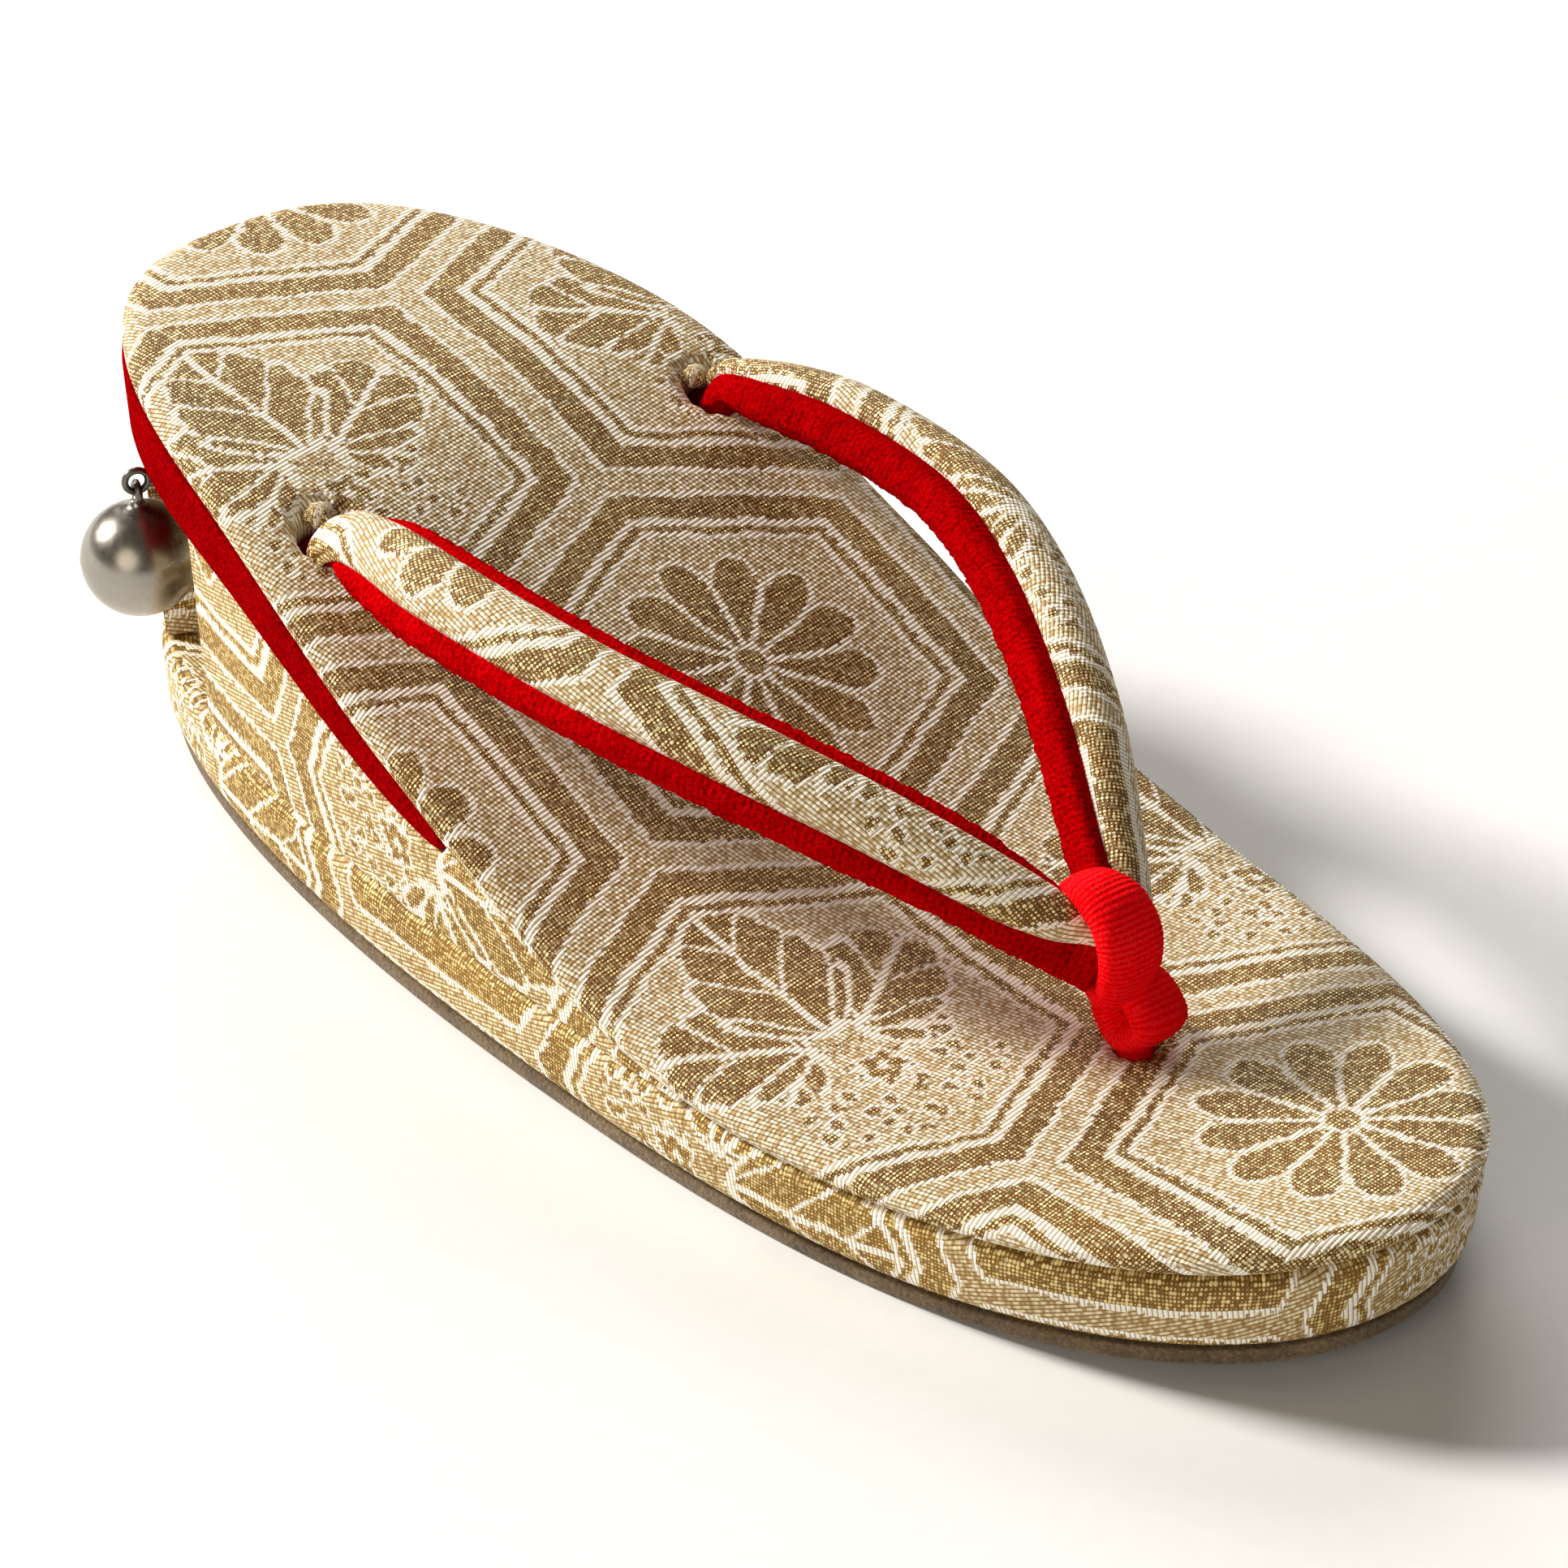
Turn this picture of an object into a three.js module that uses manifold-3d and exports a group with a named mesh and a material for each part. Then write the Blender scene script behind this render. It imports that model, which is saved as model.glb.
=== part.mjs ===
// Zori sandal: a girl's festive sandal wrapped in brocade, with red trim and a small bell at the heel.
// Millimetres, +X to the toe, +Y to the wearer's left, +Z up. It stands on z = 0.
// Stations are measured along X from the back of the heel.
import * as THREE from 'three';
import { mergeVertices } from 'three/addons/utils/BufferGeometryUtils.js';
import Module from 'manifold-3d';

const wasm = await Module();
wasm.setup();

// Plan outline
const LENGTH = 215;
const HALF_WIDTH = 43.3;
const BALL_STATION = 121.5;
const HEEL_FULLNESS = 2.67;
const TOE_FULLNESS = 2.17;
const STATIONS = 44;

// Layers, from the floor up
const SEAT_GAP = 0.3;
const OUTSOLE_THICKNESS = 2.3;
const OUTSOLE_INSET = 0.9;
const BASE_THICKNESS = 10.4;
const FOOTBED_THICKNESS = 3.6;
const FOOTBED_CROWN = 0.5;
const RED_AT_HEEL = 10;
const RED_TIP_STATION = 95.5;
const RED_TAPER_POWER = 0.32;
const RED_INSET = 0.5;
const THINNEST_EDGE = 0.6;
const WEDGE_INSET = 0.7;

// Toe spring and the lean of the side walls
const TOE_SPRING = 5;
const SPRING_STATION = 155;
const HEEL_TAPER = 4.2;
const TOE_TAPER = 1.6;
const TAPER_BLEND_STATION = 115;

// Strap holes in the footbed
const RIGHT_HOLE = { x: 60, y: -30.5, radius: 4.5 };
const LEFT_HOLE = { x: 60.5, y: 33, radius: 4.5 };
const FRONT_HOLE = { x: 168.3, y: 2.2, radius: 3.4 };
const HOLE_SIDES = 16;

// Notch for the bell, cut into the wedge on the wearer's right
const NOTCH_FROM_STATION = 16.2;
const NOTCH_TO_STATION = 36.5;
const NOTCH_DEPTH = 13;
const NOTCH_OVERRUN = 8;

// Bell and its hook
const BELL_RADIUS = 7.5;
const BELL_HEIGHT = 30.8;
const BELL_RIM = 0.22;
const BELL_RIM_HALF_HEIGHT = 0.35;
const BELL_NECK_RADIUS = 1;
const EYE_ALONG_NOTCH = 8.3;
const EYE_OUT_OF_NOTCH = 1.4;
const EYE_HEIGHT = 41.9;
const EYE_RADIUS = 1.5;
const PIN_DROP = 0.6;
const HOOK_WIRE_RADIUS = 0.45;
const LOOP_RADIUS = 1.25;
const LOOP_WIRE_RADIUS = 0.45;
const LOOP_CLEARANCE = 0.25;

// Height of the heel above the forefoot, as a share of the length
const riseTable = [
  { at: 0.0, rise: 41.7 },
  { at: 0.2, rise: 36.2 },
  { at: 0.4, rise: 19.1 },
  { at: 0.6, rise: 2.3 },
  { at: 0.7, rise: 0.0 },
  { at: 1.0, rise: 0.0 },
];

// Side profiles: how far each edge is drawn in, and its height from the bottom or top face
const baseProfile = [
  { from: 'bottom', up: 0, inset: 2.2 },
  { from: 'bottom', up: 0.8, inset: 0.7 },
  { from: 'bottom', up: 2.6, inset: 0 },
  { from: 'top', up: -2.4, inset: 0 },
  { from: 'top', up: -0.7, inset: 0.6 },
  { from: 'top', up: 0, inset: 1.8 },
];
const footbedProfile = [
  { from: 'bottom', up: 0, inset: 1.6 },
  { from: 'bottom', up: 0.7, inset: 0.4 },
  { from: 'bottom', up: 1.7, inset: 0 },
  { from: 'top', up: -1.2, inset: 0.4 },
  { from: 'top', up: -0.4, inset: 1.6 },
  { from: 'top', up: 0, inset: 3.6 },
  { from: 'top', up: FOOTBED_CROWN, inset: 11 },
];
const plainProfile = [
  { from: 'bottom', up: 0, inset: 0.6 },
  { from: 'bottom', up: 0.5, inset: 0 },
  { from: 'top', up: -0.5, inset: 0 },
  { from: 'top', up: 0, inset: 0.6 },
];

// Strap from the rear hole to the front join: places of the middle line on each side, and sections
const strapRight = [
  { name: 'foot', x: 59.4, y: -30.5, z: 44.8 },
  { name: 'mouth', x: 60.4, y: -30.5, z: 47.8 },
  { name: 'rear', x: 64.0, y: -30.3, z: 50.6 },
  { name: 'swell', x: 71.0, y: -30.8, z: 52.0 },
  { name: 'crest', x: 83.0, y: -32.35, z: 52.95 },
  { name: 'haunch', x: 105.5, y: -29.95, z: 51.25 },
  { name: 'middle', x: 121.6, y: -24.5, z: 47.95 },
  { name: 'fore', x: 141.2, y: -15.3, z: 42.1 },
  { name: 'neck', x: 157.0, y: -6.6, z: 35.5 },
  { name: 'join', x: 164.8, y: -2.4, z: 31.9 },
];
const strapLeft = [
  { name: 'foot', x: 59.9, y: 33.0, z: 44.8 },
  { name: 'mouth', x: 60.9, y: 33.0, z: 47.8 },
  { name: 'rear', x: 64.5, y: 32.8, z: 50.5 },
  { name: 'swell', x: 71.5, y: 33.0, z: 51.9 },
  { name: 'crest', x: 83.5, y: 33.95, z: 52.95 },
  { name: 'haunch', x: 105.5, y: 32.95, z: 52.15 },
  { name: 'middle', x: 121.6, y: 28.0, z: 49.35 },
  { name: 'fore', x: 141.2, y: 18.1, z: 43.1 },
  { name: 'neck', x: 157.0, y: 7.8, z: 35.9 },
  { name: 'join', x: 164.8, y: 2.4, z: 31.9 },
];
const strapSections = [
  { name: 'foot', width: 6.4, thick: 5.6, lean: 20 },
  { name: 'mouth', width: 7.0, thick: 5.4, lean: 22 },
  { name: 'rear', width: 9.0, thick: 5.6, lean: 24 },
  { name: 'swell', width: 11.4, thick: 7.4, lean: 26 },
  { name: 'crest', width: 12.6, thick: 8.4, lean: 27 },
  { name: 'haunch', width: 12.6, thick: 8.4, lean: 28 },
  { name: 'middle', width: 12.6, thick: 8.4, lean: 29 },
  { name: 'fore', width: 11.8, thick: 8.0, lean: 33 },
  { name: 'neck', width: 10.2, thick: 7.0, lean: 43 },
  { name: 'join', width: 8.4, thick: 6.0, lean: 52 },
];
const STRAP_STEPS = 34;
const STRAP_SIDES = 14;

// Front tie: a stem in the front hole, a small eye of cord over it and a loop of cord round the strap join.
// Both are closed paths in planes along the sandal, with the cord's width across it at each point.
const TIE_STEM_RADIUS = 2.8;
const TIE_STEM_TOP = 20;
const TIE_SINKS = 3.2;
const TIE_CORD_THICKNESS = 4;
const TIE_SIDES = 12;
const TIE_STEPS = 24;
const tieEyeTable = [
  { x: 170.5, z: 22.6, width: 6.6 },
  { x: 167.6, z: 25.2, width: 6.6 },
  { x: 164.7, z: 22.6, width: 6.6 },
  { x: 167.6, z: 20.0, width: 6.6 },
];
const tieLoopTable = [
  { x: 166.6, z: 26.0, width: 6.8 },
  { x: 168.0, z: 29.5, width: 7.8 },
  { x: 167.6, z: 33.4, width: 8.2 },
  { x: 165.2, z: 36.4, width: 8.2 },
  { x: 161.6, z: 37.0, width: 7.4 },
  { x: 158.8, z: 34.8, width: 5.0 },
  { x: 159.2, z: 30.6, width: 4.4 },
  { x: 162.4, z: 26.8, width: 5.2 },
];

const finishes = {
  brocade: { color: 0xb59c68, roughness: 0.62, metalness: 0.25 },
  velvet: { color: 0xb3060c, roughness: 0.9, metalness: 0 },
  suede: { color: 0x6a5f50, roughness: 0.95, metalness: 0 },
  steel: { color: 0xb4b0a8, roughness: 0.32, metalness: 1 },
  darkSteel: { color: 0x5a564f, roughness: 0.4, metalness: 1 },
};

const sandal = new THREE.Group();
sandal.position.x = -LENGTH / 2;

function addMesh(name, geometry, finish) {
  const mesh = new THREE.Mesh(geometry, new THREE.MeshStandardMaterial(finishes[finish]));
  mesh.name = name;
  sandal.add(mesh);
}

// Monotone cubic through the rows of a table
function monotone(rows, key, value, at) {
  const last = rows.length - 2;
  const slope = (i) => (rows[i + 1][value] - rows[i][value]) / (rows[i + 1][key] - rows[i][key]);
  const tangent = (i) => {
    if (i === 0) return slope(0);
    if (i > last) return slope(last);
    const before = slope(i - 1);
    const after = slope(i);
    return before * after <= 0 ? 0 : (2 * before * after) / (before + after);
  };
  let i = 0;
  while (i < last && at > rows[i + 1][key]) i += 1;
  const step = rows[i + 1][key] - rows[i][key];
  const t = THREE.MathUtils.clamp((at - rows[i][key]) / step, 0, 1);
  const keep = (1 + 2 * t) * (1 - t) ** 2;
  const rest = t * t * (3 - 2 * t);
  const bend = t * (1 - t) ** 2 * step * tangent(i) - t * t * (1 - t) * step * tangent(i + 1);
  return keep * rows[i][value] + rest * rows[i + 1][value] + bend;
}

// Plan outline: two superellipse halves that meet at the ball
function halfWidth(x) {
  const behind = x < BALL_STATION;
  const reach = behind ? BALL_STATION : LENGTH - BALL_STATION;
  const power = behind ? HEEL_FULLNESS : TOE_FULLNESS;
  const share = Math.min(1, Math.abs(x - BALL_STATION) / reach);
  return HALF_WIDTH * (1 - share ** power) ** (1 / power);
}

const stationAt = (u) => (LENGTH * (1 - Math.cos(Math.PI * u))) / 2;
const shareAt = (station) => Math.acos(1 - (2 * station) / LENGTH) / Math.PI;

// A point of the outline on the wearer's left, moved inward by the given inset
function outlinePoint(u, inset) {
  const nudge = 1e-4;
  const x = stationAt(u);
  const w = halfWidth(x);
  if (u <= nudge) return { x: inset, y: 0 };
  if (u >= 1 - nudge) return { x: LENGTH - inset, y: 0 };
  const dx = stationAt(u + nudge) - stationAt(u - nudge);
  const dw = halfWidth(stationAt(u + nudge)) - halfWidth(stationAt(u - nudge));
  const size = Math.hypot(dx, dw);
  return { x: x + (inset * dw) / size, y: Math.max(0.01, w - (inset * dx) / size) };
}

// Heights of the layer faces at a station
const spring = (x) => TOE_SPRING * Math.max(0, (x - SPRING_STATION) / (LENGTH - SPRING_STATION)) ** 2;
const rise = (x) => monotone(riseTable, 'at', 'rise', x / LENGTH);
const outsoleTop = (x) => spring(x) + OUTSOLE_THICKNESS;
const baseBottom = (x) => outsoleTop(x) + SEAT_GAP;
const baseTop = (x) => baseBottom(x) + BASE_THICKNESS;
const wedgeBottom = (x) => baseTop(x) + SEAT_GAP;
const bedBottom = (x) => wedgeBottom(x) + rise(x);
const bedTop = (x) => bedBottom(x) + FOOTBED_THICKNESS;
const redTop = (x) => bedBottom(x) - SEAT_GAP;
const redRoom = (x) => (RED_AT_HEEL + SEAT_GAP) * Math.max(0, 1 - x / RED_TIP_STATION) ** RED_TAPER_POWER;
const wedgeTop = (x) => redTop(x) - redRoom(x);
const redBottom = (x) => wedgeTop(x) + SEAT_GAP;

// Inset of the side wall at a height: the heel leans in towards the floor
function wallInset(x, z) {
  const blend = THREE.MathUtils.smoothstep(x, 0, TAPER_BLEND_STATION);
  const taper = THREE.MathUtils.lerp(HEEL_TAPER, TOE_TAPER, blend);
  return taper * Math.max(0, 1 - z / bedBottom(x));
}

// A closed layer between two faces, with one ring of points for each row of its side profile
function layerGeometry({ bottom, top, profile, extraInset = 0, endStation = LENGTH }) {
  const full = endStation >= LENGTH;
  const lastShare = full ? 1 : shareAt(endStation);
  const sideCount = full ? STATIONS - 1 : STATIONS;
  const points = [];
  const rings = profile.map((row) => {
    const start = points.length / 3;
    const left = [];
    for (let k = 0; k <= STATIONS; k += 1) {
      const u = (lastShare * k) / STATIONS;
      const station = stationAt(u);
      const room = Math.max(0, top(station) - bottom(station));
      const lift = row.from === 'top' ? room + Math.max(row.up, -room * 0.35) : Math.min(row.up, room * 0.35);
      const height = bottom(station) + lift;
      const inset = row.inset + extraInset + wallInset(station, height);
      const place = outlinePoint(u, inset);
      const station2 = THREE.MathUtils.clamp(place.x, 0, endStation);
      const drop = bottom(station2) - bottom(station);
      left.push([place.x, place.y, height + drop]);
    }
    points.push(left[0][0], 0, left[0][2]);
    for (let k = 1; k <= sideCount; k += 1) points.push(left[k][0], -left[k][1], left[k][2]);
    if (full) points.push(left[STATIONS][0], 0, left[STATIONS][2]);
    for (let k = sideCount; k >= 1; k -= 1) points.push(...left[k]);
    return { start, size: points.length / 3 - start };
  });
  const faces = [];
  for (let r = 0; r + 1 < rings.length; r += 1) {
    const { size } = rings[r];
    for (let k = 0; k < size; k += 1) {
      const next = (k + 1) % size;
      const a = rings[r].start + k;
      const b = rings[r].start + next;
      const c = rings[r + 1].start + next;
      const d = rings[r + 1].start + k;
      faces.push(a, b, c, a, c, d);
    }
  }
  const cap = (ring, up) => {
    const right = (k) => ring.start + k;
    const leftOf = (k) => ring.start + (ring.size - k) % ring.size;
    const push = (a, b, c) => (up ? faces.push(a, b, c) : faces.push(a, c, b));
    for (let k = 0; k < sideCount; k += 1) {
      push(right(k), right(k + 1), leftOf(k + 1));
      if (k > 0) push(right(k), leftOf(k + 1), leftOf(k));
    }
    if (full) push(right(sideCount), right(sideCount + 1), leftOf(sideCount));
  };
  cap(rings[0], false);
  cap(rings[rings.length - 1], true);
  const geometry = new THREE.BufferGeometry();
  geometry.setAttribute('position', new THREE.Float32BufferAttribute(points, 3));
  geometry.setIndex(faces);
  return geometry;
}

// Closed meshes to solids and back
function toSolid(source) {
  let geometry = source.clone();
  geometry.deleteAttribute('normal');
  geometry.deleteAttribute('uv');
  geometry = mergeVertices(geometry, 1e-4);
  const mesh = new wasm.Mesh({
    numProp: 3,
    vertProperties: new Float32Array(geometry.attributes.position.array),
    triVerts: new Uint32Array(geometry.index.array),
  });
  return new wasm.Manifold(mesh);
}

function toGeometry(solid) {
  const mesh = solid.getMesh();
  const geometry = new THREE.BufferGeometry();
  geometry.setAttribute('position', new THREE.Float32BufferAttribute(mesh.vertProperties, 3));
  geometry.setIndex([...mesh.triVerts]);
  return geometry;
}

// A tube through rows of sections: each row has a centre, a width direction, a normal and two half sizes
function sweepGeometry(sections, sides, closed = false) {
  const points = [];
  const faces = [];
  for (const { centre, across, normal, halfWide, halfThick } of sections) {
    for (let k = 0; k < sides; k += 1) {
      const angle = (2 * Math.PI * k) / sides;
      const point = centre.clone();
      point.addScaledVector(across, halfWide * Math.cos(angle));
      point.addScaledVector(normal, halfThick * Math.sin(angle));
      points.push(point.x, point.y, point.z);
    }
  }
  const rows = sections.length;
  const spans = closed ? rows : rows - 1;
  for (let r = 0; r < spans; r += 1) {
    const next = ((r + 1) % rows) * sides;
    for (let k = 0; k < sides; k += 1) {
      const turn = (k + 1) % sides;
      faces.push(r * sides + k, r * sides + turn, next + turn, r * sides + k, next + turn, next + k);
    }
  }
  const end = (rows - 1) * sides;
  for (let k = 1; k + 1 < sides && !closed; k += 1) {
    faces.push(0, k + 1, k);
    faces.push(end, end + k, end + k + 1);
  }
  const geometry = new THREE.BufferGeometry();
  geometry.setAttribute('position', new THREE.Float32BufferAttribute(points, 3));
  geometry.setIndex(faces);
  return geometry;
}

// One side of the strap. A positive growth makes the same shape larger all round.
function strapSide(places, growth = 0) {
  const side = Math.sign(places[0].y);
  const last = places.length - 1;
  const curve = new THREE.CatmullRomCurve3(
    places.map((row) => new THREE.Vector3(row.x, row.y, row.z)), false, 'centripetal');
  const sections = [];
  for (let k = 0; k <= STRAP_STEPS; k += 1) {
    const t = k / STRAP_STEPS;
    const place = t * last;
    const row = Math.min(Math.floor(place), last - 1);
    const mix = (key) => THREE.MathUtils.lerp(strapSections[row][key], strapSections[row + 1][key], place - row);
    const along = curve.getTangent(t);
    const lean = THREE.MathUtils.degToRad(mix('lean'));
    const normal = new THREE.Vector3(0, side * Math.sin(lean), Math.cos(lean));
    normal.addScaledVector(along, -normal.dot(along)).normalize();
    sections.push({
      centre: curve.getPoint(t),
      across: new THREE.Vector3().crossVectors(normal, along).normalize(),
      normal,
      halfWide: mix('width') / 2 + growth,
      halfThick: mix('thick') / 2 + growth,
    });
  }
  sections[STRAP_STEPS].centre.addScaledVector(curve.getTangent(1), growth);
  return toSolid(sweepGeometry(sections, STRAP_SIDES));
}

const strapSolid = (growth = 0) => strapSide(strapRight, growth).add(strapSide(strapLeft, growth));

// A closed band of cord in a plane along the sandal, at the given distance to the wearer's left
function tieBand(table, y) {
  const curve = new THREE.CatmullRomCurve3(table.map((row) => new THREE.Vector3(row.x, y, row.z)), true);
  const sections = [];
  for (let k = 0; k < TIE_STEPS; k += 1) {
    const t = k / TIE_STEPS;
    const place = t * table.length;
    const row = Math.floor(place);
    const next = (row + 1) % table.length;
    const along = curve.getTangent(t);
    const across = new THREE.Vector3(0, 1, 0);
    sections.push({
      centre: curve.getPoint(t),
      across,
      normal: new THREE.Vector3().crossVectors(along, across),
      halfWide: THREE.MathUtils.lerp(table[row].width, table[next].width, place - row) / 2,
      halfThick: TIE_CORD_THICKNESS / 2,
    });
  }
  return toSolid(sweepGeometry(sections, TIE_SIDES, true));
}

function cylinderSolid(radius, from, to, sides = HOLE_SIDES) {
  const start = new THREE.Vector3(...from);
  const end = new THREE.Vector3(...to);
  const along = end.clone().sub(start);
  const geometry = new THREE.CylinderGeometry(radius, radius, along.length(), sides);
  const turn = new THREE.Quaternion().setFromUnitVectors(new THREE.Vector3(0, 1, 0), along.clone().normalize());
  geometry.applyQuaternion(turn);
  const middle = start.add(end).multiplyScalar(0.5);
  geometry.translate(middle.x, middle.y, middle.z);
  return toSolid(geometry);
}

function torusSolid(centre, axis, radius, wire, tubeSides = 8, steps = 20) {
  const geometry = new THREE.TorusGeometry(radius, wire, tubeSides, steps);
  const turn = new THREE.Quaternion().setFromUnitVectors(new THREE.Vector3(0, 0, 1), axis.clone().normalize());
  geometry.applyQuaternion(turn);
  geometry.translate(centre.x, centre.y, centre.z);
  return toSolid(geometry);
}

// Outsole: thin suede, flat under heel and forefoot, turned up at the toe
const outsoleProfile = [
  { from: 'bottom', up: 0, inset: 0.3 },
  { from: 'bottom', up: 0.5, inset: 0 },
  { from: 'top', up: 0, inset: 0 },
];
addMesh('outsole', layerGeometry({
  bottom: spring, top: outsoleTop, profile: outsoleProfile, extraInset: OUTSOLE_INSET,
}), 'suede');

// Base layer: a padded brocade roll over the whole length
addMesh('base_layer', layerGeometry({ bottom: baseBottom, top: baseTop, profile: baseProfile }), 'brocade');

// Heel wedge, with the bell's notch
function stationWhere(test) {
  let station = LENGTH;
  while (!test(station)) station -= 0.5;
  return station;
}
const wedgeEnd = stationWhere((x) => wedgeTop(x) - wedgeBottom(x) > THINNEST_EDGE);
const redEnd = stationWhere((x) => redTop(x) - redBottom(x) > THINNEST_EDGE);
const notchStart = outlinePoint(shareAt(NOTCH_FROM_STATION), 0);
const notchEnd = outlinePoint(shareAt(NOTCH_TO_STATION), 0);
const notchFrom = new THREE.Vector3(notchStart.x, -notchStart.y, 0);
const notchAlong = new THREE.Vector3(notchEnd.x, -notchEnd.y, 0).sub(notchFrom);
const notchLength = notchAlong.length();
notchAlong.normalize();
const notchOut = new THREE.Vector3(notchAlong.y, -notchAlong.x, 0);

function notchSolid() {
  const floorHeight = baseTop(0) - 1;
  const roofHeight = wedgeTop(0) + 1;
  const box = new THREE.BoxGeometry(notchLength, NOTCH_DEPTH + NOTCH_OVERRUN, roofHeight - floorHeight);
  box.rotateZ(Math.atan2(notchAlong.y, notchAlong.x));
  const middle = notchFrom.clone().addScaledVector(notchAlong, notchLength / 2);
  middle.addScaledVector(notchOut, (NOTCH_OVERRUN - NOTCH_DEPTH) / 2);
  box.translate(middle.x, middle.y, (floorHeight + roofHeight) / 2);
  return toSolid(box);
}
const wedge = toSolid(layerGeometry({
  bottom: wedgeBottom, top: wedgeTop, profile: plainProfile, extraInset: WEDGE_INSET, endStation: wedgeEnd,
}));
addMesh('heel_wedge', toGeometry(wedge.subtract(notchSolid())), 'brocade');

// Red layer between wedge and footbed, tapering to a tip at mid length
addMesh('red_layer', layerGeometry({
  bottom: redBottom, top: redTop, profile: plainProfile, extraInset: RED_INSET, endStation: redEnd,
}), 'velvet');

// Footbed: thin padded board with the two rear holes and the front hole
let footbed = toSolid(layerGeometry({ bottom: bedBottom, top: bedTop, profile: footbedProfile }));
for (const hole of [RIGHT_HOLE, LEFT_HOLE, FRONT_HOLE]) {
  const reach = FOOTBED_THICKNESS + FOOTBED_CROWN;
  const low = [hole.x, hole.y, bedBottom(hole.x) - reach];
  const high = [hole.x, hole.y, bedTop(hole.x) + reach];
  footbed = footbed.subtract(cylinderSolid(hole.radius, low, high));
}
addMesh('footbed', toGeometry(footbed), 'brocade');

// Strap: both sides joined in front
addMesh('hanao_strap', toGeometry(strapSolid()), 'brocade');

// Front tie
const tieFoot = bedTop(FRONT_HOLE.x) - TIE_SINKS;
const stemFoot = [FRONT_HOLE.x, FRONT_HOLE.y, tieFoot];
const stemHead = [FRONT_HOLE.x, FRONT_HOLE.y, TIE_STEM_TOP];
const tie = cylinderSolid(TIE_STEM_RADIUS, stemFoot, stemHead)
  .add(tieBand(tieEyeTable, FRONT_HOLE.y))
  .add(tieBand(tieLoopTable, 0))
  .subtract(strapSolid(SEAT_GAP));
addMesh('front_tie', toGeometry(tie), 'velvet');

// Bell hook: an eye on a pin that comes out of the back wall of the notch
const eyeCentre = notchFrom.clone().addScaledVector(notchAlong, EYE_ALONG_NOTCH);
eyeCentre.addScaledVector(notchOut, EYE_OUT_OF_NOTCH).setZ(EYE_HEIGHT);
const pinLine = eyeCentre.clone().setZ(EYE_HEIGHT - PIN_DROP);
const pinHead = pinLine.clone().addScaledVector(notchOut, -EYE_RADIUS);
const pinFoot = pinLine.clone().addScaledVector(notchOut, SEAT_GAP - NOTCH_DEPTH - EYE_OUT_OF_NOTCH);
const hook = torusSolid(eyeCentre, notchAlong, EYE_RADIUS, HOOK_WIRE_RADIUS)
  .add(cylinderSolid(HOOK_WIRE_RADIUS, pinFoot.toArray(), pinHead.toArray(), 8));
addMesh('bell_hook', toGeometry(hook), 'darkSteel');

// Bell: a ball in two halves with a rim between them, and a loop that hangs in the eye
function bellBall() {
  const rows = 10;
  const profile = [];
  for (let k = 0; k <= rows; k += 1) {
    const angle = Math.PI * (k / rows - 0.5);
    if (k === rows / 2) {
      profile.push(new THREE.Vector2(BELL_RADIUS + BELL_RIM, -BELL_RIM_HALF_HEIGHT));
      profile.push(new THREE.Vector2(BELL_RADIUS + BELL_RIM, BELL_RIM_HALF_HEIGHT));
    } else {
      profile.push(new THREE.Vector2(Math.abs(BELL_RADIUS * Math.cos(angle)), BELL_RADIUS * Math.sin(angle)));
    }
  }
  profile[0].x = 0;
  profile[profile.length - 1].x = 0;
  const ball = new THREE.LatheGeometry(profile, 20);
  ball.rotateX(Math.PI / 2);
  ball.translate(eyeCentre.x, eyeCentre.y, BELL_HEIGHT);
  return toSolid(ball);
}
const loopTop = EYE_HEIGHT - EYE_RADIUS + HOOK_WIRE_RADIUS + LOOP_CLEARANCE + LOOP_WIRE_RADIUS;
const loopCentre = eyeCentre.clone().setZ(loopTop - LOOP_RADIUS);
const neckFoot = [eyeCentre.x, eyeCentre.y, BELL_HEIGHT + BELL_RADIUS - 1];
const neckHead = [eyeCentre.x, eyeCentre.y, loopCentre.z - LOOP_RADIUS];
const bell = bellBall()
  .add(cylinderSolid(BELL_NECK_RADIUS, neckFoot, neckHead, 12))
  .add(torusSolid(loopCentre, notchOut, LOOP_RADIUS, LOOP_WIRE_RADIUS));
addMesh('bell', toGeometry(bell), 'steel');

export default sandal;
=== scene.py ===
import math
from functools import partialmethod
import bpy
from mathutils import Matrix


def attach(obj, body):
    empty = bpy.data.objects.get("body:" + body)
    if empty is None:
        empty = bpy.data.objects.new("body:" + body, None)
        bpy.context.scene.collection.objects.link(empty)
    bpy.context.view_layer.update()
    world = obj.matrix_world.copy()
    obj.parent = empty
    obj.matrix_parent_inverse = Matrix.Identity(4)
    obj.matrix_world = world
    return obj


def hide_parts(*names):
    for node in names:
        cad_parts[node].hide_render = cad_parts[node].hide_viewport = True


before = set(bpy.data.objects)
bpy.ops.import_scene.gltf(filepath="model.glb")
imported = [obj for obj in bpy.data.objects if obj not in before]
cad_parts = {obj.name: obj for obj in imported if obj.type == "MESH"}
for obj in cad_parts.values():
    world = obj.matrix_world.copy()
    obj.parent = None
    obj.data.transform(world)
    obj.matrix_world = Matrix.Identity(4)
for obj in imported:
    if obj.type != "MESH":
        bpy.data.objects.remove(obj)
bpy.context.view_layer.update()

from types import SimpleNamespace

import bpy
import numpy as np
from mathutils import Matrix, Vector

# Millimetres for shapes, metres for objects. Stations are measured from the back of the heel.
MM = 0.001
LENGTH = 215.0
HALF_WIDTH = 43.3
BALL_STATION = 121.5
HEEL_FULLNESS = 2.67
TOE_FULLNESS = 2.17

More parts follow.
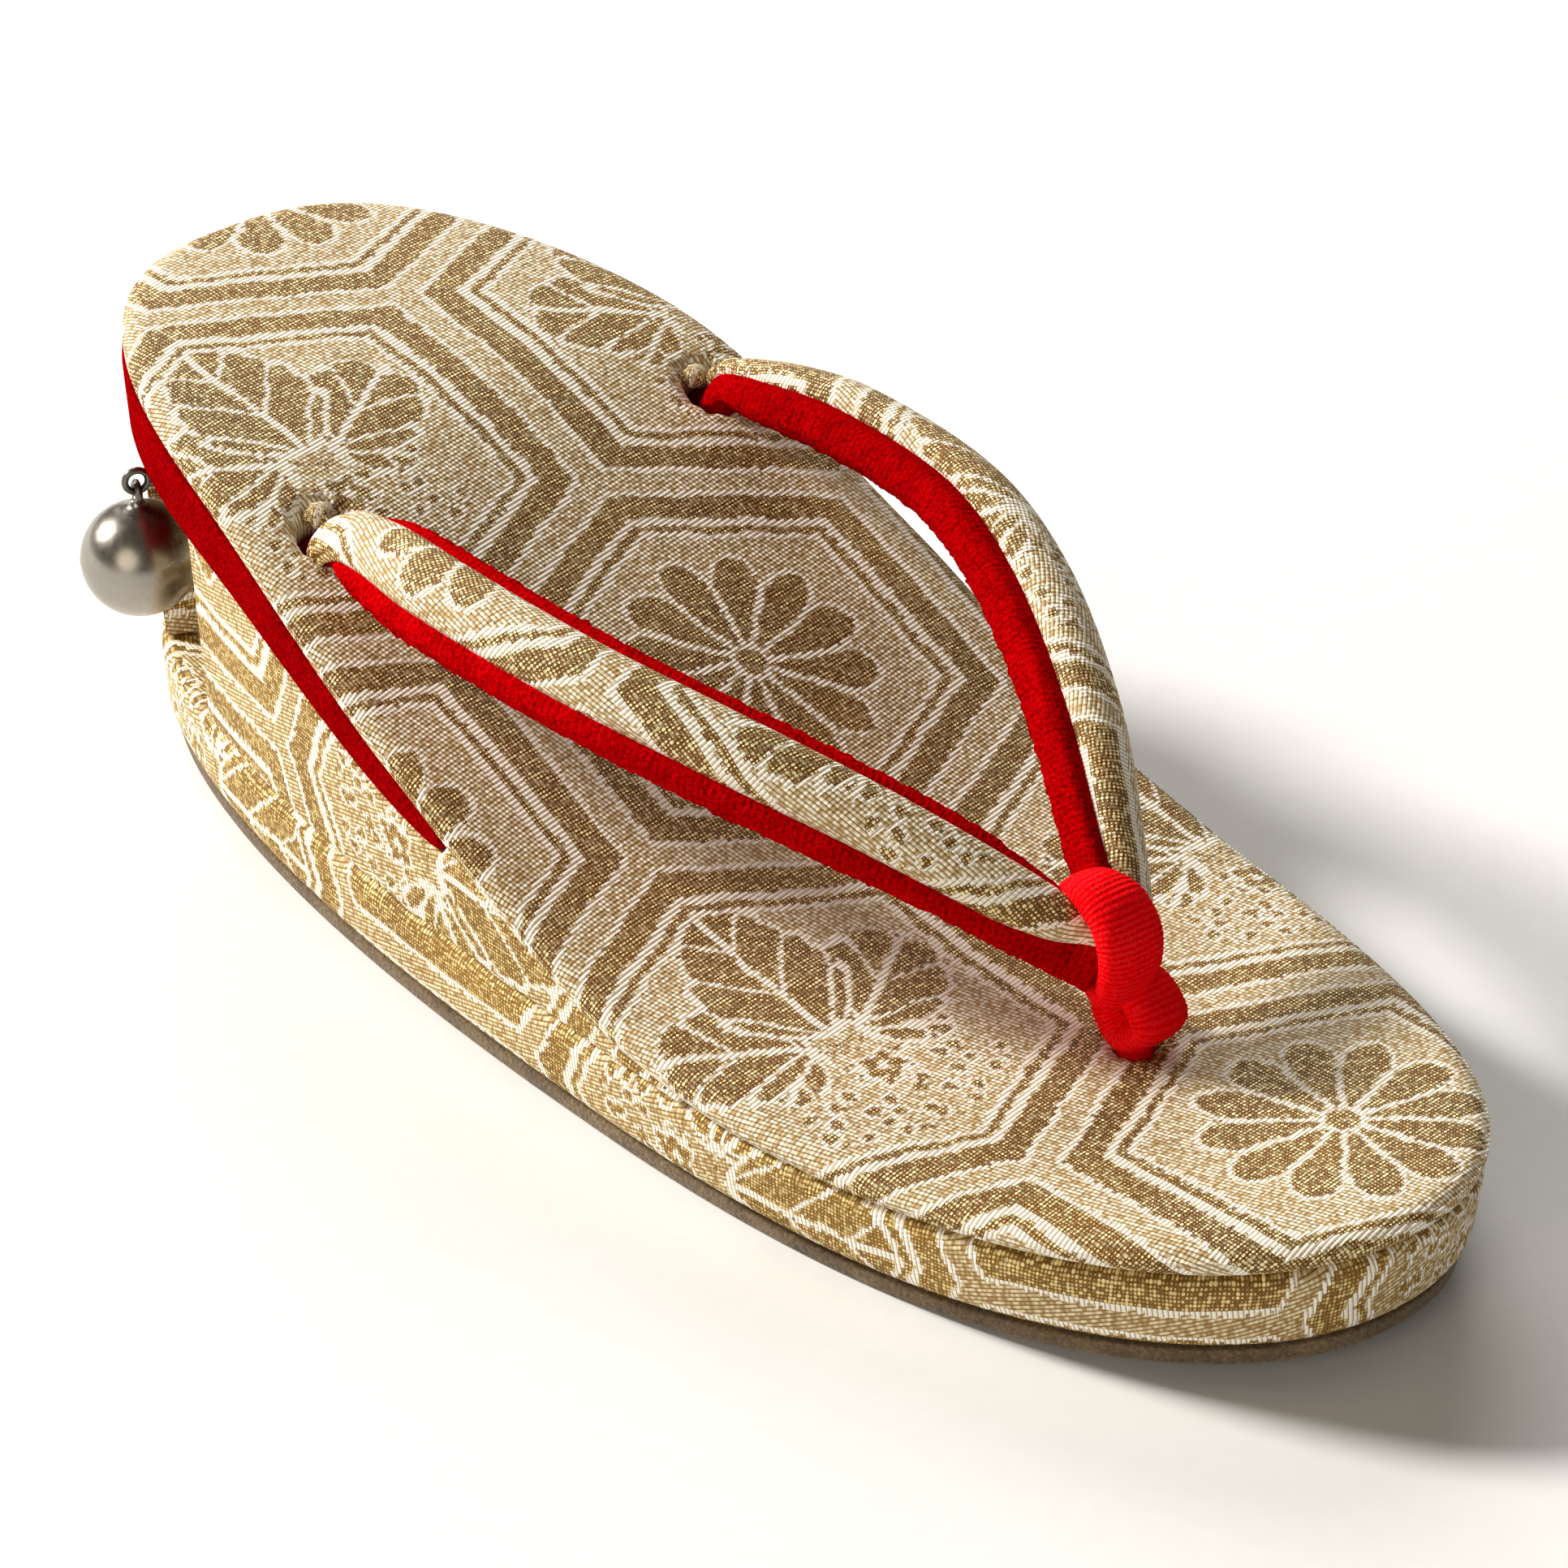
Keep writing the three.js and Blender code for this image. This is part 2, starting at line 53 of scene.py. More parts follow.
SEAT_GAP = 0.3
OUTSOLE_THICKNESS = 2.3
OUTSOLE_INSET = 0.9
BASE_THICKNESS = 10.4
FOOTBED_THICKNESS = 3.6
FOOTBED_CROWN = 0.5
RED_AT_HEEL = 10.0
RED_TIP_STATION = 95.5
RED_TAPER_POWER = 0.32
RED_INSET = -0.3
RED_DRAWN_IN = 0.9
RED_DRAW_STATIONS = (25.0, 85.0)
WEDGE_INSET = 0.7
THINNEST_EDGE = 0.6

TOE_SPRING = 5.0
SPRING_STATION = 155.0
HEEL_TAPER = 4.2
TOE_TAPER = 1.6
TAPER_BLEND_STATION = 115.0

RISE_AT = (0.0, 0.2, 0.4, 0.6, 0.7, 1.0)
RISE = (41.7, 36.2, 19.1, 2.3, 0.0, 0.0)

RIGHT_HOLE = (57.9, -29.0, 3.9)
LEFT_HOLE = (59.4, 32.2, 3.6)
FRONT_HOLE = (167.2, 2.6, 2.3)
NOTCH_STATIONS = (16.2, 36.5)
NOTCH_DEPTH = 13.0
NOTCH_OVERRUN = 8.0
NOTCH_MARGIN = 1.0
NOTCH_END_CLOTH = (60, 10)
NOTCH_BACK_CLOTH = (40, 12)

# How a sole layer is meshed: EDGE_SHARE is the most of its height that one rounded edge takes,
# SPINE_STATIONS are the ends of the middle line that its top and bottom shrink to.
SIDE_POINTS = 170
FINE_POINTS = 6001
STATION_STEP = 0.5
EDGE_SHARE = 0.35
SPINE_STATIONS = (42.0, 172.0)
CROWN_REACH = 9.0
TOP_RINGS = 16
FLOOR_RINGS = 6
scene = bpy.context.scene


# ---- numbers

def smoothstep(x, low, high):
    t = np.clip((x - low) / (high - low), 0, 1)
    return t * t * (3 - 2 * t)


def running(steps):
    """The sum of the steps up to each point, from zero."""
    return np.concatenate([[0], np.cumsum(steps)])


def full_turn(count):
    return np.linspace(0, 2 * np.pi, count + 1)[:-1]


def monotone(at, keys, values):
    """A smooth curve through the keys that does not swing past them."""
    keys = np.asarray(keys, float)
    values = np.asarray(values, float)
    slope = np.diff(values) / np.diff(keys)
    tangent = np.empty_like(values)
    tangent[0] = slope[0]
    tangent[-1] = slope[-1]
    before = slope[:-1]
    after = slope[1:]
    product = before * after
    total = np.where(np.abs(before + after) < 1e-12, 1.0, before + after)
    tangent[1:-1] = np.where(product <= 0, 0.0, 2 * product / total)
    at = np.asarray(at, float)
    i = np.clip(np.searchsorted(keys, at) - 1, 0, len(keys) - 2)
    step = keys[i + 1] - keys[i]
    t = np.clip((at - keys[i]) / step, 0, 1)
    keep = (1 + 2 * t) * (1 - t) ** 2
    rest = t * t * (3 - 2 * t)
    leave = t * (1 - t) ** 2 * step * tangent[i]
    arrive = t * t * (1 - t) * step * tangent[i + 1]
    return keep * values[i] + rest * values[i + 1] + (leave - arrive)


def half_width(x):
    x = np.asarray(x, float)
    behind = x < BALL_STATION
    reach = np.where(behind, BALL_STATION, LENGTH - BALL_STATION)
    power = np.where(behind, HEEL_FULLNESS, TOE_FULLNESS)
    share = np.minimum(1, np.abs(x - BALL_STATION) / reach)
    return HALF_WIDTH * (1 - share ** power) ** (1 / power)


def station_at(u):
    return LENGTH * (1 - np.cos(np.pi * u)) / 2


def share_at(station):
    return np.arccos(1 - 2 * station / LENGTH) / np.pi


def outline_point(u, inset):
    """A point of the left side and its outward direction, moved in from the outline."""
    nudge = 1e-4
    low = np.clip(u - nudge, 0, 1)
    high = np.clip(u + nudge, 0, 1)
    dx = station_at(high) - station_at(low)
    dw = half_width(station_at(high)) - half_width(station_at(low))
    size = np.hypot(dx, dw)
    x = station_at(u)
    px = x + inset * dw / size
    py = np.maximum(0.0, half_width(x) - inset * dx / size)
    heel = u <= nudge
    toe = u >= 1 - nudge
    px = np.where(heel, inset, np.where(toe, LENGTH - inset, px))
    py = np.where(heel | toe, 0.0, py)
    normal = np.stack([-dw / size, dx / size], -1)
    normal[heel] = (-1, 0)
    normal[toe] = (1, 0)
    return px, py, normal


def spring(x):
    return TOE_SPRING * np.maximum(0, (x - SPRING_STATION) / (LENGTH - SPRING_STATION)) ** 2


def rise(x):
    return monotone(np.asarray(x, float) / LENGTH, RISE_AT, RISE)


def outsole_top(x):
    return spring(x) + OUTSOLE_THICKNESS


def base_bottom(x):
    return outsole_top(x) + SEAT_GAP


def base_top(x):
    return base_bottom(x) + BASE_THICKNESS


def wedge_bottom(x):
    return base_top(x) + SEAT_GAP


def bed_bottom(x):
    return wedge_bottom(x) + rise(x)


def bed_top(x):
    return bed_bottom(x) + FOOTBED_THICKNESS


def red_top(x):
    return bed_bottom(x) - SEAT_GAP


def wedge_top(x):
    taper = np.maximum(0, 1 - np.asarray(x, float) / RED_TIP_STATION) ** RED_TAPER_POWER
    return red_top(x) - (RED_AT_HEEL + SEAT_GAP) * taper


def red_bottom(x):
    return wedge_top(x) + SEAT_GAP


def wall_inset(x, z):
    taper = HEEL_TAPER + (TOE_TAPER - HEEL_TAPER) * smoothstep(x, 0, TAPER_BLEND_STATION)
    return taper * np.maximum(0, 1 - z / bed_bottom(x))


def station_where(test):
    station = LENGTH
    while not test(station):
        station -= STATION_STEP
    return station


# ---- meshes

def signed_volume(place, faces):
    """Six times the volume that the faces enclose, below zero where they face inward."""
    fans = np.array([(face[0], face[i], face[i + 1])
                     for face in faces for i in range(1, len(face) - 1)])
    a, b, c = (place[fans[:, k]] for k in range(3))
    return float((np.cross(a, b) * c).sum())


def mesh_object(name, points, faces, uvs=None):
    """An object from points in millimetres, with one cloth coordinate for each face corner."""
    place = np.array(points, float)
    place[:, 0] -= LENGTH / 2
    mesh = bpy.data.meshes.new(name)
    mesh.from_pydata((place * MM).tolist(), [], faces)
    if uvs is not None:
        layer = mesh.uv_layers.new(name="cloth")
        layer.data.foreach_set("uv", np.asarray(uvs, np.float32).ravel())
    mesh.polygons.foreach_set("use_smooth", [True] * len(mesh.polygons))
    mesh.update()
    if signed_volume(place, faces) < 0:
        mesh.flip_normals()
    obj = bpy.data.objects.new(name, mesh)
    scene.collection.objects.link(obj)
    return obj


def weld(obj, distance):
    """Joins points that meet, keeping the cloth coordinates of each corner."""
    step = obj.modifiers.new("weld", "WELD")
    step.merge_threshold = distance * MM
    bake_modifiers(obj)


def bake_modifiers(obj):
    graph = bpy.context.evaluated_depsgraph_get()
    graph.update()
    made = bpy.data.meshes.new_from_object(obj.evaluated_get(graph))
    obj.modifiers.clear()
    old = obj.data
    obj.data = made
    bpy.data.meshes.remove(old)


def cut(obj, cutter):
    step = obj.modifiers.new("cut", "BOOLEAN")
    step.operation = "DIFFERENCE"
    step.solver = "EXACT"
    step.object = cutter
    bake_modifiers(obj)
    bpy.data.objects.remove(cutter)


def loft(name, rings, uv_rings=None, cap=False, join=0.0):
    """A surface through closed rings of points, welded where points meet within join.

    A uv ring has one more column than its ring, for the closing seam.
    """
    rings = np.asarray(rings)
    rows, count = rings.shape[:2]
    faces = []
    uvs = []
    for r in range(rows - 1):
        here, above = r * count, (r + 1) * count
        for k in range(count):
            n = (k + 1) % count
            faces.append((here + k, here + n, above + n, above + k))
            if uv_rings is not None:
                low, high = uv_rings[r], uv_rings[r + 1]
                uvs.extend((low[k], low[k + 1], high[k + 1], high[k]))
    if cap:
        for r, order in ((0, -1), (rows - 1, 1)):
            faces.append(tuple(r * count + k for k in range(count))[::order])
            if uv_rings is not None:
                uvs.extend([uv_rings[r][k] for k in range(count)][::order])
    obj = mesh_object(name, rings.reshape(-1, 3), faces, uvs if uv_rings is not None else None)
    if join:
        weld(obj, join)
    return obj


def outline_shares(end_station):
    """Shares along one side, evenly spaced by arc, and the arc at each."""
    fine = np.linspace(0, 1 if end_station >= LENGTH else share_at(end_station), FINE_POINTS)
    x = station_at(fine)
    arc = running(np.hypot(np.diff(x), np.diff(half_width(x))))
    even = np.linspace(0, arc[-1], SIDE_POINTS + 1)
    return np.interp(even, arc, fine), even


def round_edge(low_up, low_inset, high_up, high_inset, steps=7):
    """Rows (kind, up, inset) of a side profile with rounded lower and upper edges.

    Up is from the bottom, from the top, or a share of the height between the two edges.
    """
    turn = np.linspace(0, np.pi / 2, steps)
    rows = [("bottom", low_up * (1 - math.cos(a)), low_inset * (1 - math.sin(a))) for a in turn]
    rows += [("middle", t, 0.0) for t in (0.25, 0.5, 0.75)]
    rows += [("top", -high_up * (1 - math.sin(a)), high_inset * (1 - math.cos(a))) for a in turn]
    return rows


def spine_of(ring, end):
    """The points of the middle line that a ring shrinks to."""
    spine = ring.copy()
    spine[:, 0] = np.clip(spine[:, 0], SPINE_STATIONS[0], min(SPINE_STATIONS[1], end - 1.0))
    spine[:, 1] = 0.0
    return spine


def flat_distance(a, b):
    return np.hypot(a[:, 0] - b[:, 0], a[:, 1] - b[:, 1])


def layer(name, bottom, top, profile, cloth, extra=0.0, end=LENGTH, crown=0.0):
    """A closed layer of the sole, inset by extra, a number or a function of the station.

    cloth(floor_rings, rings, top_rings, outward, along) gives the cloth coordinates of the rings.
    """
    full = end >= LENGTH
    u, arc = outline_shares(end)
    station = station_at(u)
    low = bottom(station)
    room = np.maximum(0, top(station) - low)
    most = room * EDGE_SHARE
    start = np.minimum(max(row[1] for row in profile if row[0] == "bottom"), most)
    stop = room + np.maximum(min(row[1] for row in profile if row[0] == "top"), -most)
    left = []
    normals = []
    for kind, up, inset in profile:
        if kind == "top":
            lift = room + np.maximum(up, -most)
        elif kind == "bottom":
            lift = np.minimum(up, most)
        else:
            lift = start + (stop - start) * up
        height = low + lift
        total = inset + (extra(station) if callable(extra) else extra)
        px, py, normal = outline_point(u, total + wall_inset(station, height))
        drop = bottom(np.clip(px, 0, end)) - low
        left.append(np.stack([px, py, height + drop], -1))
        normals.append(normal)

    def around(values):
        right = np.array(values)
        back = (right[:, -2:0:-1] if full else right[:, :0:-1]).copy()
        right[..., 1] *= -1
        return np.concatenate([right, back], 1)

    rings = around(left)
    outward = around(normals)
    if full:
        along = np.concatenate([arc, 2 * arc[-1] - arc[-2:0:-1], [2 * arc[-1]]])
    else:
        along = np.concatenate([arc, -arc[:0:-1], [0.0]])
    foot, rim = rings[0], rings[-1]
    top_rings = []
    for s in np.linspace(0, 1, TOP_RINGS)[1:]:
        p = rim + (spine_of(rim, end) - rim) * s
        puff = 1 - (1 - np.minimum(1, flat_distance(p, rim) / CROWN_REACH)) ** 2
        p[:, 2] = top(np.clip(p[:, 0], 0, end)) + crown * puff
        top_rings.append(p)
    floor_rings = []
    for s in np.linspace(1, 0, FLOOR_RINGS)[:-1]:
        p = foot + (spine_of(foot, end) - foot) * s
        p[:, 2] = bottom(np.clip(p[:, 0], 0, end))
        floor_rings.append(p)
    whole = np.concatenate([floor_rings, rings, top_rings])
    uv = cloth(np.array(floor_rings), rings, np.array(top_rings), outward, along)
    return loft(name, whole, uv, join=0.002)


# Cloth coordinates, in millimetres of cloth
centre_x = np.linspace(0, LENGTH, 4001)
centre_arc = running(np.hypot(np.diff(centre_x), np.diff(bed_top(centre_x))))
UNDERSIDE_SHIFT = 200


def arc_at(x):
    return np.interp(x, centre_x, centre_arc)


def closed_columns(values):
    return np.concatenate([values, values[:, :1]], 1)


def top_cloth(floor_rings, rings, top_rings, outward, along):
    """Cloth laid on the top face and drawn down over the rolled edge."""
    flat = np.stack([arc_at(top_rings[..., 0]), top_rings[..., 1]], -1)
    wall = np.empty(rings.shape[:2] + (2,))
    wall[-1] = np.stack([arc_at(rings[-1][:, 0]), rings[-1][:, 1]], -1)
    for r in range(len(rings) - 2, -1, -1):
        step = np.linalg.norm(rings[r] - rings[r + 1], axis=1)
        wall[r] = wall[r + 1] + outward[r] * step[:, None]
    under = np.stack([arc_at(floor_rings[..., 0]), floor_rings[..., 1] + UNDERSIDE_SHIFT], -1)
    return closed_columns(np.concatenate([under, wall, flat]))


def wall_cloth(centre_arc_at, centre_height, follow_spring):
    """Cloth wrapped round the side, turned half a turn against the top cloth."""
    def cloth(floor_rings, rings, top_rings, outward, along):
        rows = []
        for ring in np.concatenate([floor_rings, rings, top_rings]):
            z = ring[:, 2] - (spring(ring[:, 0]) if follow_spring else 0)
            z = np.append(z, z[0])
            u = KIRI[0] - (along - centre_arc_at) * WALL_STRETCH
            rows.append(np.stack([u, KIRI[1] - (z - centre_height)], -1))
        for row, ring in zip(rows[-len(top_rings):], top_rings):
            row[:-1, 1] -= flat_distance(ring, rings[-1])
            row[-1, 1] = row[0, 1]
        return np.array(rows)
    return cloth


# The cloth's repeat: a chrysanthemum hexagon and a paulownia hexagon by turns
REPEAT = (103.6, 62.0)
KIKU = (98.8, 7.2)
KIRI = (KIKU[0] + REPEAT[0] / 2, KIKU[1] - REPEAT[1] / 2)
WALL_STRETCH = 0.977


# ---- node helpers

class Nodes:
    def __init__(self, tree):
        self.tree = tree

    def add(self, kind, **settings):
        node = self.tree.nodes.new(kind)
        for key, value in settings.items():
            setattr(node, key, value)
        return node

    def put(self, value, socket):
        if isinstance(value, bpy.types.NodeSocket):
            self.tree.links.new(value, socket)
        elif socket.type == "RGBA":
            socket.default_value = (*value, 1.0)
        else:
            socket.default_value = value

    def fill(self, node, values):
        for socket, value in values.items():
            self.put(value, node.inputs[socket])

    def math(self, operation, *inputs, clamp=False):
        node = self.add("ShaderNodeMath", operation=operation, use_clamp=clamp)
        for value, socket in zip(inputs, node.inputs):
            self.put(value, socket)
        return node.outputs[0]

    times = partialmethod(math, "MULTIPLY")
    minus = partialmethod(math, "SUBTRACT")
    above = partialmethod(math, "GREATER_THAN")
    below = partialmethod(math, "LESS_THAN")
    most = partialmethod(math, "MAXIMUM")
    line = partialmethod(math, "MULTIPLY_ADD")

    def vector(self, operation, *inputs, out=0):
        node = self.add("ShaderNodeVectorMath", operation=operation)
        for value, socket in zip(inputs, node.inputs):
            self.put(value, socket)
        return node.outputs[out]

    apart = partialmethod(vector, "SUBTRACT")
    length = partialmethod(vector, "LENGTH", out=1)

    def split(self, vector):
        node = self.add("ShaderNodeSeparateXYZ")
        self.put(vector, node.inputs[0])
        return node.outputs

    def join(self, x, y):
        node = self.add("ShaderNodeCombineXYZ")
        self.fill(node, {"X": x, "Y": y})
        return node.outputs[0]

    def ramp(self, factor, stops, mode="LINEAR"):
        node = self.add("ShaderNodeValToRGB")
        ramp = node.color_ramp
        ramp.interpolation = mode
        while len(ramp.elements) < len(stops):
            ramp.elements.new(1.0)
        # Placed twice, because elements can change their order while they move
        for element, (place, _) in zip(ramp.elements, stops):
            element.position = place
        for element, (place, colour) in zip(ramp.elements, stops):
            element.position = place
            element.color = (*colour, 1.0)
        self.put(factor, node.inputs[0])
        return node.outputs[0]

    def table(self, factor, size, rows, scale):
        """A height looked up by distance: rows of (distance, height)."""
        stops = [(d / size, (h / scale,) * 3) for d, h in rows]
        return self.times(self.ramp(self.math("DIVIDE", factor, size), stops), scale)

    def mix(self, factor, a, b, blend="MIX"):
        node = self.add("ShaderNodeMix", data_type="RGBA", blend_type=blend)
        for value, index in ((factor, 0), (a, 6), (b, 7)):
            self.put(value, node.inputs[index])
        return node.outputs[2]

    def blend(self, factor, a, b):
        node = self.add("ShaderNodeMix", data_type="FLOAT")
        for value, index in ((factor, 0), (a, 2), (b, 3)):
            self.put(value, node.inputs[index])
        return node.outputs[0]

    def noise(self, vector, scale, detail=1.0, rough=0.5, size="3D", out=0):
        node = self.add("ShaderNodeTexNoise", noise_dimensions=size)
        self.fill(node, {"Vector": vector, "Scale": scale, "Detail": detail, "Roughness": rough})
        return node.outputs[out]

    def bump(self, height, strength, distance):
        node = self.add("ShaderNodeBump")
        self.fill(node, {"Height": height, "Strength": strength, "Distance": distance})
        return node.outputs[0]

    def cloth_place(self):
        return self.add("ShaderNodeUVMap", uv_map="cloth").outputs[0]

    def object_place(self):
        return self.add("ShaderNodeTexCoord").outputs["Object"]

    def steps(self, vector, x, y, step):
        """How many steps along the direction (x, y) a place lies."""
        return self.vector("DOT_PRODUCT", vector, (x / step, y / step, 0.0), out=1)

    def without(self, mask, value):
        return self.times(self.minus(1.0, mask), value)


def srgb(r, g, b):
    def channel(v):
        v /= 255
        return v / 12.92 if v <= 0.04045 else ((v + 0.055) / 1.055) ** 2.4
    return channel(r), channel(g), channel(b)


def material(name):
    made = bpy.data.materials.new(name)
    made.use_nodes = True
    tree = made.node_tree
    tree.nodes.clear()
    nodes = Nodes(tree)
    shader = nodes.add("ShaderNodeBsdfPrincipled")
    output = nodes.add("ShaderNodeOutputMaterial")
    tree.links.new(shader.outputs[0], output.inputs[0])
    return made, nodes, shader


# ---- the woven repeat

HEX_REACH = 31.7
HEX_LEAN = 0.4548
HEX_SLANT = 1.0985
SLANT_NARROW = 1.13
FIELD_EDGE = 10.2
BAND_REACH = 12.0
PETALS = 12
FLOWER_REACH = 20.0
FLOWER_HALF = 4.0
LEAF_RIM = 0.9
LEAF_VEIN = 0.85
LEAF_MIDRIB = 0.5
VEIN_SLOPE = -1.15
SCALLOP = 1.5
FLORET_AT = (8.0, 0.6, 0.0)
BUDS_AT = (13.0, 0.0, 0.0)


def woven_repeat():
    """Takes a place on the cloth in millimetres, gives how brown and how white it is there."""
    tree = bpy.data.node_groups.new("woven_repeat", "ShaderNodeTree")
    tree.interface.new_socket("Cloth", in_out="INPUT", socket_type="NodeSocketVector")
    for name in ("Brown", "White"):
        tree.interface.new_socket(name, in_out="OUTPUT", socket_type="NodeSocketFloat")
    g = Nodes(tree)
    cloth = g.add("NodeGroupInput").outputs[0]
    half = (REPEAT[0] / 2, REPEAT[1] / 2, 0.0)
    away = (-half[0], -half[1], 0.0)
    from_kiku = g.vector("WRAP", g.apart(cloth, (*KIKU, 0.0)), half, away)
    from_kiri = g.vector("WRAP", g.apart(cloth, (*KIRI, 0.0)), half, away)
    u, v, _ = g.split(from_kiku)
    across = g.math("ABSOLUTE", u)
    upward = g.math("ABSOLUTE", v)
    slant = g.line(upward, HEX_LEAN, across)
    inside = g.times(g.minus(HEX_REACH, slant), SLANT_NARROW / HEX_SLANT)
    in_kiku = g.above(inside, 0.0)
    edge_kiku = g.math("MINIMUM", inside, g.minus(half[1], upward))
    edge_kiri = g.math("MINIMUM", g.times(inside, -1.0), upward)
    edge = g.most(edge_kiku, edge_kiri)

    ground, white, brown = (0, 0, 0), (0, 1, 0), (1, 0, 0)
    bands = ((0.0, ground), (1.6, white), (2.5, brown), (6.6, white), (8.0, brown), (9.25, white),
             (FIELD_EDGE, ground))
    stripes = g.ramp(g.math("DIVIDE", edge, BAND_REACH),
                     [(e / BAND_REACH, c) for e, c in bands], "CONSTANT")
    parts = g.add("ShaderNodeSeparateColor")
    g.put(stripes, parts.inputs[0])
    field = g.above(edge, FIELD_EDGE)

    # Chrysanthemum: petals round a disc
    radius = g.length(from_kiku)
    angle = g.math("WRAP", g.math("ARCTAN2", v, u), math.pi / PETALS, -math.pi / PETALS)
    side = g.times(radius, g.math("ABSOLUTE", angle))
    petal_rows = ((0, 4), (2.0, 4), (2.02, 0), (2.6, 0), (2.62, 0.28), (5, 0.88), (8, 1.66),
                  (11, 2.45), (13, 2.9), (14.6, 2.75), (15.9, 2.0), (16.6, 1.1), (16.95, 0),
                  (20, 0))
    rim_rows = ((0, 4), (2.6, 4), (2.62, 0.75), (5, 1.35), (8, 2.12), (11, 2.92), (13, 3.4),
                (15, 3.3), (16.4, 2.55), (17.2, 1.55), (17.6, 0), (20, 0))
    petal = g.below(side, g.table(radius, FLOWER_REACH, petal_rows, FLOWER_HALF))
    rim = g.below(side, g.table(radius, FLOWER_REACH, rim_rows, FLOWER_HALF))
    kiku_white = g.minus(rim, petal, clamp=True)

    # Paulownia: a leaf toward the heel, a leaf and a lobe on each side, a floret, a spray of buds
    a, b, _ = g.split(from_kiri)
    folded = g.math("ABSOLUTE", b)

    def leaf(second, start, tip, half_wide, rows, vein_step):
        """How brown a leaf is, and where it and its rim lie. Rows are shares (along, wide)."""
        length = math.dist(start, tip)
        ax, ay = (tip[0] - start[0]) / length, (tip[1] - start[1]) / length
        da = g.minus(a, start[0])
        db = g.minus(second, start[1])
        reach = g.line(da, ax, g.times(db, ay))
        off = g.math("ABSOLUTE", g.line(da, -ay, g.times(db, ax)))
        wide = g.table(reach, length, [(r * length, w * half_wide) for r, w in rows], half_wide)
        veins = g.math("DIVIDE", g.line(off, VEIN_SLOPE, reach), vein_step)
        vein = g.math("FRACT", veins)
        scallop = g.math("POWER", g.math("ABSOLUTE", g.line(vein, 2.0, -1.0)), 4.0)
        clear = g.minus(wide, g.line(scallop, SCALLOP, off))
        within = g.times(g.above(clear, 0.0),
                        g.above(wide, 0.05))
        around = g.above(clear, -LEAF_RIM)
        near = g.times(around, g.math("COMPARE", reach, length / 2, length / 2 + 0.5))
        plain = g.times(g.above(vein, LEAF_VEIN / vein_step),
                       g.above(off, LEAF_MIDRIB))
        return g.times(within, plain), near

    lobes = ((0, 0), (0.03, 0.16), (0.12, 0.5), (0.26, 0.86), (0.34, 0.98), (0.44, 1.0),
             (0.52, 0.9), (0.58, 0.93), (0.68, 0.82), (0.76, 0.62), (0.8, 0.63), (0.9, 0.38),
             (1.0, 0))
    broad = ((0, 0.1), (0.06, 0.4), (0.22, 0.84), (0.4, 1.0), (0.6, 0.97), (0.74, 0.8), (0.8, 0.82),
             (0.93, 0.5), (1.0, 0))
    main_brown, main_near = leaf(b, (0.5, 0.3), (-26.0, -0.5), 9.4, lobes, 8.6)
    side_brown, side_near = leaf(folded, (0.5, 4.0), (-9.0, 19.5), 8.2, broad, 7.8)
    lobe_brown, lobe_near = leaf(folded, (0.8, 3.6), (7.0, 13.0), 2.9, broad, 5.4)
    leaves = g.most(side_brown, g.without(side_near, lobe_brown))
    leaves = g.most(main_brown, g.without(main_near, leaves))
    lined = g.most(main_near, g.most(side_near, lobe_near))

    floret_at = g.apart(from_kiri, FLORET_AT)
    fu, fv, _ = g.split(floret_at)
    floret_r = g.length(floret_at)
    lobed = g.math("COSINE", g.times(g.math("ARCTAN2", fv, fu), 5.0))
    floret = g.line(lobed, -0.55, floret_r)
    floret_brown = g.times(g.below(floret, 2.5),
                          g.above(floret_r, 0.8))
    floret_near = g.below(floret, 3.1)

    buds = g.add("ShaderNodeTexVoronoi", voronoi_dimensions="2D")
    g.fill(buds, {"Vector": g.vector("ADD", from_kiri, (41.3, 17.7, 0.0)), "Scale": 0.3,
                  "Randomness": 0.62})
    spread = g.vector("MULTIPLY", g.apart(from_kiri, BUDS_AT), (1.0, 0.52, 0.0))
    patch = g.below(g.length(spread), 7.6)
    bud_brown = g.times(patch, g.below(buds.outputs["Distance"], 0.25))
    bud_near = g.times(patch, g.below(buds.outputs["Distance"], 0.39))

    kiri_brown = g.most(floret_brown, g.without(floret_near, bud_brown))
    kiri_brown = g.most(leaves, g.without(lined, kiri_brown))
    kiri_near = g.most(lined, g.most(floret_near, bud_near))
    kiri_white = g.minus(kiri_near, kiri_brown, clamp=True)

    inner_brown = g.times(g.blend(in_kiku, kiri_brown, petal), field)
    inner_white = g.times(g.blend(in_kiku, kiri_white, kiku_white), field)
    out = g.add("NodeGroupOutput")
    g.put(g.math("ADD", parts.outputs[0], inner_brown, clamp=True), out.inputs[0])
    g.put(g.math("ADD", parts.outputs[1], inner_white, clamp=True), out.inputs[1])
    return tree


REPEAT_GROUP = woven_repeat()
THREADS = (0.46, 0.52, 1.0)
FRAY = (0.34, 0.34, 0.0)
WANDER = (0.7, 0.7, 0.0)
MIDDLE = (0.5, 0.5, 0.5)
WARM_LIGHT_TINT = (214, 190, 96)
WEFT_ROW = 0.58
WEFT_LEAN = 17.0
DASH = 0.62
SATIN_STEP = 0.58
SATIN_LEAN = -8.0


